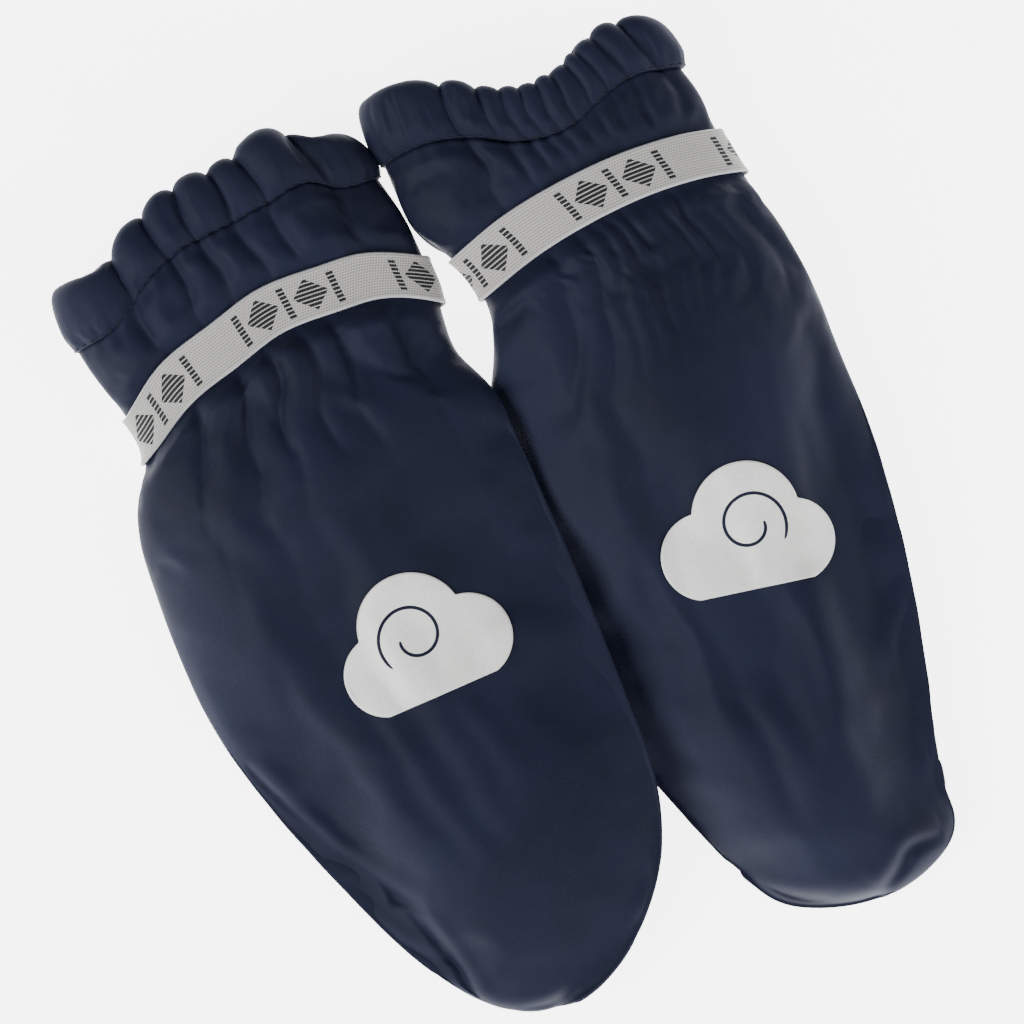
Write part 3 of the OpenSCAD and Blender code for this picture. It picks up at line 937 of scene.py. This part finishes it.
def casing(side):
    """The hem as a closed surface. Its profile is a flattened loop: a power of sine and cosine
    gives the distance along the arm and the distance out, and the outer half carries the puffs.
    The loop is longer where the puff is high, which scallops the top edge."""
    ring, out, on_front, edge = wrist_ring(side)
    loop = np.linspace(0, 2 * math.pi, LOOP_STEPS + 1)[:-1]
    along = 0.5 - 0.5 * np.sign(np.cos(loop)) * np.abs(np.cos(loop))**ALONG_POW
    outward = np.sign(np.sin(loop)) * np.abs(np.sin(loop))**(OUT_POW + OUT_POW * along)
    length = PLACE[side]["casing_l"] - HEM_MARGIN
    points = []
    for share, side_of in zip(along, outward):
        rise = puffs_round(side, ring, on_front, edge, share * length)
        cut = CORNER_CUT * (1 - edge)**2 * (out[:, 0] > 0)
        reach = (length * share + PUFF_UP * rise * smoothstep(share)) * (1 - cut)
        reach = reach + CORNER_RISE * share * (1 - edge)**2 * (out[:, 0] < 0)
        full = STITCH_PINCH + (1 - STITCH_PINCH) * smoothstep(share * 3)
        if side_of >= 0:
            depth = -CASING_T / 2 + side_of * (CASING_T / 2 + CASING_OUT + rise * full)
        else:
            depth = -CASING_T / 2 + side_of * CASING_T / 2 + PUFF_IN * rise * full
        point = ring + out * np.reshape(depth, (-1, 1)) + np.stack([0 * reach, reach, 0 * reach], -1)
        points.append(drawn_in(side, point, share))
    return np.array(points)


def ribbon_ring(side, ring, out, profile):
    """A closed profile carried round a ring. Each profile point is (along the arm, outward)."""
    length = PLACE[side]["casing_l"]
    return np.array([drawn_in(side, ring + out * o + [0, a, 0], a / length) for a, o in profile])


STITCH_R = 0.16


def stitches(path, out, length, gap, sink=0.25):
    """Points and quads of a row of stitches along a path. Each stitch is a short thread of six
    sides and seven rings, whose radius and height follow the square root of 1 minus t squared, so
    its ends go into the cloth. Two quads close each end."""
    run = run_along(path)
    n = int(run[-1] / (length + gap))
    t = np.linspace(-1, 1, 7)
    s = (np.arange(n)[:, None] + 0.5) * run[-1] / n + t * length / 2
    centre = np.stack([np.interp(s, run, path[:, k]) for k in range(3)], -1)
    up = unit(np.stack([np.interp(s, run, out[:, k]) for k in range(3)], -1))
    along = unit(np.gradient(centre, axis=1))
    across = np.cross(up, along)
    bow = np.sqrt(np.clip(1 - t**2, 0, 1))[None, :, None]
    centre = centre + up * (STITCH_R * bow - sink * (1 - bow))
    a = np.arange(6) * math.pi / 3
    points = (centre[:, :, None] + STITCH_R * np.maximum(bow, 0.15)[..., None]
              * (across[:, :, None] * np.cos(a)[:, None] + up[:, :, None] * np.sin(a)[:, None]))
    caps = [[0, 1, 2, 3], [0, 3, 4, 5], [39, 38, 37, 36], [41, 40, 39, 36]]
    one = np.concatenate([grid_quads(7, 6, close_cols=True, flip=True), caps])
    quads = (one[None] + (np.arange(n) * 42)[:, None, None]).reshape(-1, 4)
    return points.reshape(-1, 3), quads


# Row of the hem's profile that the stitches lie on, and their length and gap in mm
STITCH_ROW, HEM_STITCH = 3, (1.9, 0.9)
# The hem is held at its stitches and along its inner ply, which lies on the elastic
CASING_GRIP = np.concatenate([[1, 1, 1, 1, 0.6, 0.2], np.zeros(12), np.full(4, 0.2), np.full(14, 1.0)])
CASING_GROWTH, CASING_PRESSURE, CASING_FRAMES = 0.045, 1.5, 12
# The elastic's profile: place along the arm and outward
ELASTIC = [(2.6, -2.2), (2.6, -1.3), (6.7, -1.2), (10.8, -1.3), (10.8, -2.2), (6.7, -2.3)]
for side in SIDES:
    surface = casing(side)
    quads = grid_quads(*surface.shape[:2], close_rows=True, close_cols=True, flip=True)
    grip = np.repeat(CASING_GRIP, surface.shape[1])
    swollen = run_cloth(side + "_hem", surface.reshape(-1, 3), quads, grip,
                        CASING_GROWTH, CASING_PRESSURE, CASING_FRAMES)
    surface = smooth_grid(swollen.reshape(surface.shape), 1)
    surface[..., 2] = above(surface[..., 2], TABLE)
    piece = put_mesh(side + "_casing_hem", surface, quads)
    finish_piece(piece, side + "_cuff", side + "_cuff_casing", "coated_polyester")
    ring, out, _, _ = wrist_ring(side)
    band = ribbon_ring(side, ring, out, ELASTIC)
    quads = grid_quads(*band.shape[:2], close_rows=True, close_cols=True, flip=True)
    piece = put_mesh(side + "_elastic_band", band, quads)
    finish_piece(piece, side + "_cuff", side + "_cuff_elastic", "braided_elastic")
    line = surface[STITCH_ROW]
    beside = surface[STITCH_ROW + 1] - surface[STITCH_ROW - 1]
    normal = unit(np.cross(np.roll(line, -1, 0) - np.roll(line, 1, 0), beside))
    normal = normal * np.sign((normal * out).sum(-1, keepdims=True))
    closed = [np.concatenate([part, part[:1]]) for part in (line, normal)]
    piece = put_mesh(side + "_hem_stitches", *stitches(*closed, *HEM_STITCH))
    finish_piece(piece, side + "_cuff", side + "_casing_stitching", "sewing_thread")
    print(piece.name, len(piece.data.polygons), "faces")

# %% [markdown]
# ## The strap
# A woven elastic strap is pulled tight round the wrist. It is a flat ribbon with a slightly
# thicker woven edge on both sides. It is carried round the wrist's oval on an arched line, and
# keeps a map of its length and width in millimetres, so that the weave can follow it.

# %% A ribbon round the wrist
STRAP_T, STRAP_GAP = 1.1, 0.45
STRAP_STEPS = 360
# The profile: place across as a share of the half width, and height as a share of the thickness
ACROSS_SHARE = np.array([-1, -0.97, -0.9, -0.82, -0.6, -0.3, 0, 0.3, 0.6, 0.82, 0.9, 0.97, 1,
                         0.96, 0.5, -0.5, -0.96])
HEIGHT_SHARE = np.array([0.5, 0.9, 1.1, 0.98, 0.95, 0.95, 0.95, 0.95, 0.95, 0.98, 1.1, 0.9, 0.5,
                         0.06, 0, 0, 0.06])


def strap_ribbon(side):
    """Points, map and length of the strap. A closed profile, flat with rounded edges that stand a
    little proud, runs round the oval of the wrist. Its place along the arm depends on x and x on
    that place, so both are worked out again four times. The map's seam lies on the underside."""
    turn = -math.pi / 2 + np.linspace(0, 2 * math.pi, STRAP_STEPS)
    v = ACROSS_SHARE * STRAP_W / 2
    out = (STRAP_GAP + STRAP_T * HEIGHT_SHARE)[None, :, None]
    x = PLACE[side]["x"] + 40 * np.cos(turn)
    for _ in range(4):
        line = np.where(np.sin(turn) >= 0, strap_line(side, True, x), strap_line(side, False, x))
        x = middle(side, line) + half_width(side, line) * np.cos(turn)
    d = line[:, None] + v[None]
    wide, x_mid = half_width(side, d), middle(side, d)
    cos, sin = np.cos(turn)[:, None], np.sin(turn)[:, None] + 0 * d
    z = PLACE[side]["wrist_z"] + WRIST_HALF_T * sin
    oval = np.stack([x_mid + wide * cos, d + PLACE[side]["tip"], z], -1)
    normal = np.stack([cos / wide, 0 * d, sin / WRIST_HALF_T], -1)
    points = oval + unit(normal) * out
    run = run_along(points[:, 6])
    uv = np.stack(np.broadcast_arrays(run[:, None] - run[-1] / 2, v[None]), -1)
    return points, uv, run[-1]


def merge_seam(piece):
    """Joins points that lie on each other. The map keeps both sides' values at the seam."""
    work = bmesh.new()
    work.from_mesh(piece.data)
    bmesh.ops.remove_doubles(work, verts=work.verts, dist=0.02 * MM)
    work.to_mesh(piece.data)
    work.free()


# Length, gap and sink of a tack stitch, and how far its rows lie from the strap's ends, in steps
TACK_STITCH, TACK_ROWS = (1.4, 0.6, 0.1), (-6, 6)
for side in SIDES:
    points, uv, length = strap_ribbon(side)
    quads = grid_quads(*points.shape[:2], close_cols=True)
    piece = put_mesh(side + "_strap_ribbon", points, quads, uv)
    merge_seam(piece)
    finish_piece(piece, side + "_hand", side + "_wrist_strap", "woven_elastic")
    print(piece.name, "is", round(float(length)), "mm round")
    paths = [points[step % (len(points) - 1), 2:11] for step in TACK_ROWS]
    rows = [stitches(path, np.tile([0.0, 0.0, -1.0], (len(path), 1)), *TACK_STITCH) for path in paths]
    tack_quads = np.concatenate([rows[0][1], rows[1][1] + len(rows[0][0])])
    piece = put_mesh(side + "_tack_stitches", np.concatenate([row[0] for row in rows]), tack_quads)
    finish_piece(piece, side + "_hand", side + "_strap_tack", "sewing_thread")

# %% [markdown]
# ## The reflective print
# A thin silver film is pressed onto the front while hot, so it follows every dip of the fabric.
# It is a plain cloud: three round puffs on a straight base. Its edge is found as a distance from
# its middle in every direction, and rings between the middle and the edge make its surface,
# which is then laid on the height map of the fabric. The curl line is a gap in the real film: a
# thin strip of the shell's fabric, laid on the film, stands for it.

# %% Cloud and curl
# Circles as x, y and radius, the height of the flat base, and the ends of the block between them
CLOUD = [(-11.5, -4.0, 10.5), (-1.0, 4.5, 13.5), (11.0, -3.5, 11.0)]
BASE, LOW, HIGH = -14.0, -11.5, 11.0
EDGE_STEPS, CLOUD_RINGS = 240, 29
PRINT_LIFT, PRINT_T = 0.2, 0.09
PRINT_TURN = {"left": 0.0, "right": -11.5}
CURL_LIFT, CURL_T, CURL_HALF = 0.05, 0.06, 0.42
top_map = {side: farthest(shell_map[side, True], False, 1) for side in SIDES}


def cloud_edge(angle):
    """Distance of the cloud's edge from its middle in each direction: the farthest that a ray
    reaches in any of the circles or in the low block between them, cut off at the flat base."""
    cx, cy = np.cos(angle), np.sin(angle)
    far = np.zeros_like(angle)
    for x, y, r in CLOUD:
        across = cx * x + cy * y
        inside = r * r - (x * x + y * y - across**2)
        far = np.maximum(far, np.where(inside > 0, across + np.sqrt(np.maximum(inside, 0)), 0))
    side_reach = np.where(cx > 0, HIGH, -LOW) / np.maximum(np.abs(cx), 1e-6)
    base_reach = np.where(cy < 0, BASE / np.minimum(cy, -1e-6), 1e9)
    far = np.where(cy < 0, np.maximum(far, np.minimum(side_reach, base_reach)), far)
    return np.minimum(far, base_reach)


def laid_on(side, x, y, lift):
    """A flat shape's points turned and moved to the print's place and laid on the fabric."""
    turn = math.radians(PRINT_TURN[side])
    x = x * (1 if side == "left" else -1)
    px = PLACE[side]["print"][0] + x * math.cos(turn) - y * math.sin(turn)
    py = PLACE[side]["print"][1] + x * math.sin(turn) + y * math.cos(turn)
    return np.stack([px, py, height_at(top_map[side], px, py) + lift], -1)


def curl_strip():
    """The curl line: a spiral of 400 degrees whose radius shrinks from 9.5 to 3.5 mm, as a strip
    of even width with round ends: its middle line plus or minus half its width across it."""
    t = np.linspace(0, 1, 100)
    angle = np.radians(215 - 400 * t)
    radius = 9.5 - 6.0 * t
    line = np.stack([-1.5 + radius * np.cos(angle), 2.0 + radius * np.sin(angle)], -1)
    along = unit(np.gradient(line, axis=0))
    across = np.stack([-along[:, 1], along[:, 0]], -1)
    width = CURL_HALF * np.sqrt(np.clip(1 - np.abs(2 * t - 1)**24, 0, 1))[:, None]
    return np.stack([line + across * width * k for k in (-1, -0.33, 0.33, 1)], 1)


for side in SIDES:
    left = side == "left"
    angle = np.linspace(0, 2 * math.pi, EDGE_STEPS + 1)[:-1]
    reach = np.linspace(0, 1, CLOUD_RINGS + 1)[1:, None] * cloud_edge(angle)[None]
    sheet = laid_on(side, reach * np.cos(angle), reach * np.sin(angle), PRINT_LIFT)
    hub = laid_on(side, np.zeros(1), np.zeros(1), PRINT_LIFT)
    rings = grid_quads(CLOUD_RINGS, EDGE_STEPS, close_cols=True, flip=left)
    i = np.arange(0, EDGE_STEPS, 2)
    fan = np.stack([CLOUD_RINGS * EDGE_STEPS + 0 * i, i, i + 1, (i + 2) % EDGE_STEPS], -1)
    quads = np.concatenate([rings, fan if left else fan[:, ::-1]])
    piece = put_mesh(side + "_cloud_film", np.concatenate([sheet.reshape(-1, 3), hub]), quads)
    thicken(piece, PRINT_T, 1)
    finish_piece(piece, side + "_hand", side + "_print", "reflective_film")
    strip = curl_strip()
    strip = laid_on(side, strip[..., 0], strip[..., 1], PRINT_LIFT + PRINT_T + CURL_LIFT)
    piece = put_mesh(side + "_cloud_curl", strip, grid_quads(*strip.shape[:2], flip=not left))
    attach(piece, side + "_hand")
    piece.data.materials.append(bpy.data.materials["coated_polyester"])
    thicken(piece, CURL_T, 1)
    print(piece.name, len(piece.data.polygons), "quads")

# %% [markdown]
# ## Materials
# Each material is built from a few nodes by one small function. Colours are given as the hex
# values of a colour chart and turned into the linear values that a renderer works in.

# %% Node helpers
def colour(hex_code):
    """Linear red, green, blue and alpha of an sRGB hex colour: below 0.04045 a value is divided
    by 12.92, above it is (value + 0.055) / 1.055 to the power 2.4."""
    value = np.array([int(hex_code[i:i + 2], 16) for i in (1, 3, 5)]) / 255
    linear = np.where(value <= 0.04045, value / 12.92, ((value + 0.055) / 1.055) ** 2.4)
    return (*linear.tolist(), 1.0)


def fill(node, **sockets):
    """Sets a node's inputs by name, with _ for a space, or by number, as _0. A hex code, a number
    or a vector goes into the socket. An output, or a node's first output, is linked to it."""
    for key, value in sockets.items():
        socket = node.inputs[int(key[1:]) if key[1:].isdigit() else key.replace("_", " ")]
        if isinstance(value, bpy.types.Node):
            value = value.outputs[0]
        if isinstance(value, bpy.types.NodeSocket):
            node.id_data.links.new(value, socket)
        else:
            socket.default_value = colour(value) if isinstance(value, str) else value


def add(kind, settings=None, stops=(), **sockets):
    """Adds one node to the current material, with its properties, the (place, colour) stops of
    its ramp, if it has one, and its inputs."""
    node = material.node_tree.nodes.new(kind)
    for key, value in (settings or {}).items():
        setattr(node, key, value)
    for i, (place_on_ramp, code) in enumerate(stops):
        marks = node.color_ramp.elements
        mark = marks[i] if i < len(marks) else marks.new(place_on_ramp)
        mark.position = place_on_ramp
        mark.color = colour(code)
    fill(node, **sockets)
    return node


def start_material(name):
    """A material with only a Principled shader, and that shader."""
    found = bpy.data.materials.get(name) or bpy.data.materials.new(name)
    found.use_nodes = True
    return found, found.node_tree.nodes["Principled BSDF"]


# %% [markdown]
# ### Coated polyester
# The shell is a dense plain weave of fine polyester yarn with a polyurethane coating, which
# keeps water out. It looks smooth and soft, dark navy, with a broad dull shine and a faint
# bloom at grazing angles. Real threads are about 0.15 mm apart, too fine to show, so the weave
# is drawn at 0.45 mm. Soft cloudy shading stands for the coating's uneven gloss and faint rubs.

# %% Shell fabric
THREAD = 0.45
# A wave texture of scale s repeats every 0.314 / s metres
bands = 0.314 / (THREAD * MM)
material, shader = start_material("coated_polyester")
place = add("ShaderNodeTexCoord").outputs["Object"]
cloudy = add("ShaderNodeTexNoise", Vector=place, Scale=28.0, Detail=4.0, Roughness=0.6).outputs["Fac"]
grain = add("ShaderNodeTexNoise", Vector=place, Scale=900.0, Detail=2.0, Roughness=0.5)
crush = add("ShaderNodeTexNoise", Vector=place, Scale=140.0, Detail=5.0, Roughness=0.55)
tone = add("ShaderNodeValToRGB", stops=[(0.3, "#131625"), (0.7, "#191D30")], Fac=cloudy)
speckled = add("ShaderNodeMixRGB", {"blend_type": "OVERLAY"}, Fac=0.12, Color1=tone,
               Color2=grain.outputs["Color"])
gloss = add("ShaderNodeMapRange", Value=cloudy, To_Min=0.56, To_Max=0.66)
warp = add("ShaderNodeTexWave", {"bands_direction": "X"}, Vector=place, Scale=bands)
weft = add("ShaderNodeTexWave", {"bands_direction": "Y"}, Vector=place, Scale=bands)
weave = add("ShaderNodeMath", {"operation": "ADD"}, _0=warp.outputs["Fac"], _1=weft.outputs["Fac"])
fine = add("ShaderNodeBump", Height=weave, Strength=0.10, Distance=0.0001)
soft = add("ShaderNodeBump", Height=crush.outputs["Fac"], Normal=fine, Strength=0.12, Distance=0.0008)
fill(shader, Base_Color=speckled, Roughness=gloss, Normal=soft, IOR=1.48, Specular_IOR_Level=0.10,
     Sheen_Weight=0.03, Sheen_Roughness=0.45, Sheen_Tint="#8F9BC4")
print("shell fabric:", len(material.node_tree.nodes), "nodes")

# %% [markdown]
# ### Woven elastic
# The strap is woven from covered rubber and textured polyester, which gives a fine pebbled rib
# in warm grey with a paler, denser edge. The border is woven in with black yarn that runs along
# the strap in short ribs: groups of bars and diamonds with plain lengths between them. All of it
# is worked out from the ribbon's map, which counts millimetres along and across.

# %% Strap webbing with its border
# Length of a group and of the drawn part of half of it, and the step from a diamond to a bar
GROUP, DRAWN, STEP = 42.0, 14.6, 6.5
# Half widths of a bar and a diamond along the strap, half height of both, and the ribs
BAR, DIAMOND, HALF_H = 0.9, 4.6, 4.3
RIB, RIB_GAP = 1.05, 0.30
# Yarn of the ground, drawn 0.7 mm apart both ways, and the width of the paler edge
YARN, EDGE_W = 0.7, 0.5
WAVE = 2 * math.pi / YARN
# Each row is a step of arithmetic: its name, what it does, and numbers or names of earlier steps
STEPS = [
    ("from_start", "ADD", "along", 300.0),
    ("in_group", "PINGPONG", "from_start", GROUP / 2),
    ("drawn", "LESS_THAN", "in_group", DRAWN),
    ("from_bar", "PINGPONG", "in_group", STEP),
    ("from_diamond", "SUBTRACT", STEP, "from_bar"),
    ("share_along", "DIVIDE", "from_diamond", DIAMOND),
    ("off", "ABSOLUTE", "across"),
    ("share_across", "DIVIDE", "off", HALF_H),
    ("share", "ADD", "share_along", "share_across"),
    ("diamond", "LESS_THAN", "share", 1.0),
    ("narrow", "LESS_THAN", "from_bar", BAR),
    ("low", "LESS_THAN", "off", HALF_H),
    ("bar", "MULTIPLY", "narrow", "low"),
    ("ribs", "DIVIDE", "across", RIB),
    ("ribs_moved", "ADD", "ribs", 0.25),
    ("in_rib", "FRACT", "ribs_moved"),
    ("rib", "GREATER_THAN", "in_rib", RIB_GAP),
    ("figure", "MAXIMUM", "diamond", "bar"),
    ("ribbed", "MULTIPLY", "figure", "rib"),
    ("black", "MULTIPLY", "ribbed", "drawn"),
    ("rows", "DIVIDE", "across", YARN),
    ("row", "FLOOR", "rows"),
    ("shift", "MULTIPLY", "row", YARN / 2),
    ("shifted", "ADD", "along", "shift"),
    ("turn_along", "MULTIPLY", "shifted", WAVE),
    ("knit_along", "SINE", "turn_along"),
    ("turn_across", "MULTIPLY", "across", WAVE),
    ("knit_across", "SINE", "turn_across"),
    ("knit_sum", "ADD", "knit_along", "knit_across"),
    ("knit", "MULTIPLY_ADD", "knit_sum", 0.25, 0.5),
    ("edge", "GREATER_THAN", "off", STRAP_W / 2 - EDGE_W),
    ("knit_height", "MULTIPLY", "knit", 0.6),
    ("height", "MULTIPLY_ADD", "black", 0.6, "knit_height"),
]
material, shader = start_material("woven_elastic")
parts = add("ShaderNodeSeparateXYZ", Vector=add("ShaderNodeUVMap", {"uv_map": "cloth"}))
steps = {"along": parts.outputs["X"], "across": parts.outputs["Y"]}
for name, operation, *values in STEPS:
    inputs = {"_" + str(i): steps.get(value, value) for i, value in enumerate(values)}
    steps[name] = add("ShaderNodeMath", {"operation": operation}, **inputs)
ground = add("ShaderNodeValToRGB", stops=[(0.0, "#74726F"), (0.55, "#A6A4A1"), (1.0, "#B8B7B4")],
             Fac=steps["knit"])
pale = add("ShaderNodeMixRGB", Fac=steps["edge"], Color1=ground, Color2="#BAB9BE")
woven = add("ShaderNodeMixRGB", Fac=steps["black"], Color1=pale, Color2="#15141A")
relief = add("ShaderNodeBump", Height=steps["height"], Strength=0.6, Distance=0.0003)
fill(shader, Base_Color=woven, Normal=relief, Roughness=0.72, Specular_IOR_Level=0.3, Sheen_Weight=0.04)
print("strap webbing:", len(material.node_tree.nodes), "nodes")

# %% [markdown]
# ### Reflective film
# The film is glass beads half sunk in aluminised resin. In even light it is a matt silver grey
# with a fine sparkle, and it takes on the creases of the cloth. Beads are 0.05 mm across, drawn
# at about 0.3 mm so that the sparkle shows.

# %% Print film
material, shader = start_material("reflective_film")
place = add("ShaderNodeTexCoord").outputs["Object"]
beads = add("ShaderNodeTexVoronoi", Vector=place, Scale=3300.0)
patches = add("ShaderNodeTexNoise", Vector=place, Scale=90.0, Detail=4.0).outputs["Fac"]
tone = add("ShaderNodeValToRGB", stops=[(0.25, "#DCDAD6"), (0.5, "#E8E7E5"), (0.8, "#F0EFEE")],
           Fac=patches)
fleck = add("ShaderNodeValToRGB", stops=[(0.0, "#A6A4A0"), (1.0, "#DCDCDB")],
            Fac=beads.outputs["Color"])
silver = add("ShaderNodeMixRGB", Fac=0.4, Color1=tone, Color2=fleck)
beaded = add("ShaderNodeBump", Height=beads.outputs["Distance"], Strength=0.25, Distance=0.0001)
fill(shader, Base_Color=silver, Normal=beaded, Metallic=0.2, Roughness=0.6)
print("print film:", len(material.node_tree.nodes), "nodes")

# %% [markdown]
# ### Thread, elastic, wadding and fleece
# Sewing thread is two plies twisted together, a little glossier than the cloth. The casing's
# elastic is braided and white. Wadding is a soft web of white polyester fibres. The fleece is
# brushed on its face, so it has no thread lines, only a short matted pile.

# %% Small finishes
# Name, dark and light colour, noise scale, its stretch, bump depth in metres, roughness and sheen
FIBRES = [
    ("sewing_thread", "#080A14", "#0F1220", 2500.0, (1.0, 1.0, 1.0), 0.00005, 0.8, 0.0),
    ("braided_elastic", "#D2D1CD", "#F2F2EF", 1100.0, (0.4, 1.0, 1.0), 0.0002, 0.7, 0.1),
    ("polyester_wadding", "#DAD8D1", "#F2F0EA", 320.0, (1.0, 1.0, 1.0), 0.0010, 0.9, 0.3),
    ("polar_fleece", "#232A48", "#3D4669", 480.0, (1.0, 1.0, 1.0), 0.0008, 0.95, 0.5),
]
for name, dark, light, scale, stretch, depth, roughness, sheen in FIBRES:
    material, shader = start_material(name)
    place = add("ShaderNodeTexCoord").outputs["Object"]
    stretched = add("ShaderNodeMapping", Vector=place, Scale=stretch)
    noise = add("ShaderNodeTexNoise", Vector=stretched, Scale=scale, Detail=5.0, Roughness=0.65)
    tone = add("ShaderNodeValToRGB", stops=[(0.3, dark), (0.7, light)], Fac=noise.outputs["Fac"])
    bump = add("ShaderNodeBump", Height=noise.outputs["Fac"], Strength=0.5, Distance=depth)
    fill(shader, Base_Color=tone, Normal=bump, Roughness=roughness, Sheen_Weight=sheen)
    print(name, "made")

# %% [markdown]
# ## Floor, light and camera
# The pair lies on a pale sheet. A large soft light from the left models its folds, and two weaker
# ones, from the right and from beyond the tips, keep the shade soft. The camera looks straight
# down through a long lens, turned so that the mittens lean the way they do when they are laid out.

# %% Stage
SHEET = 3.0
material, shader = start_material("pale_card")
place = add("ShaderNodeTexCoord").outputs["Object"]
fibre = add("ShaderNodeTexNoise", Vector=place, Scale=60.0, Detail=3.0).outputs["Fac"]
card = add("ShaderNodeValToRGB", stops=[(0.3, "#F3F3F3"), (0.7, "#F6F6F6")], Fac=fibre)
fill(shader, Base_Color=card, Roughness=0.9, Emission_Color="#FFFFFF", Emission_Strength=5.0)
corners = np.array([(-1, -1, 0), (1, -1, 0), (1, 1, 0), (-1, 1, 0)])
floor = put_mesh("floor", corners * SHEET / MM, [[0, 1, 2, 3]])
floor.data.materials.append(material)

# Name, place in metres and watts of each square soft light that looks at the middle of the pair
LAMPS = [("key", (-0.9, -0.1, 0.8), 25.0), ("fill", (0.95, -0.35, 0.65), 10.0),
         ("back", (0.15, -1.1, 0.7), 9.0)]
LAMP_SIZE = 0.9
for name, at, watts in LAMPS:
    lamp = bpy.data.lights.new(name, "AREA")
    lamp.energy = watts
    lamp.size = LAMP_SIZE
    holder = bpy.data.objects.new(name, lamp)
    bpy.context.scene.collection.objects.link(holder)
    holder.location = at
    holder.rotation_euler = (Vector((0, 0, 0.01)) - Vector(at)).to_track_quat("-Z", "Y").to_euler()
world = bpy.data.worlds.new("studio")
world.use_nodes = True
fill(world.node_tree.nodes["Background"], Color="#F2F4F8", Strength=0.2)
bpy.context.scene.world = world

# %% Camera
# The view is 0.256 m wide at half the mittens' height, 13 mm up
VIEW_TURN = math.radians(-23.5)
VIEW_SPAN, VIEW_HEIGHT, MIDDLE_UP = 0.256, 1.2, 0.013
lens = bpy.data.cameras.new("camera")
lens.lens = lens.sensor_width * (VIEW_HEIGHT - MIDDLE_UP) / VIEW_SPAN
lens.clip_start = 0.02
camera = bpy.data.objects.new("camera", lens)
bpy.context.scene.collection.objects.link(camera)
camera.location = (-0.0023, 0.0106, VIEW_HEIGHT)
camera.rotation_euler = (0, 0, VIEW_TURN)
bpy.context.scene.camera = camera
print("lens", round(lens.lens), "mm")
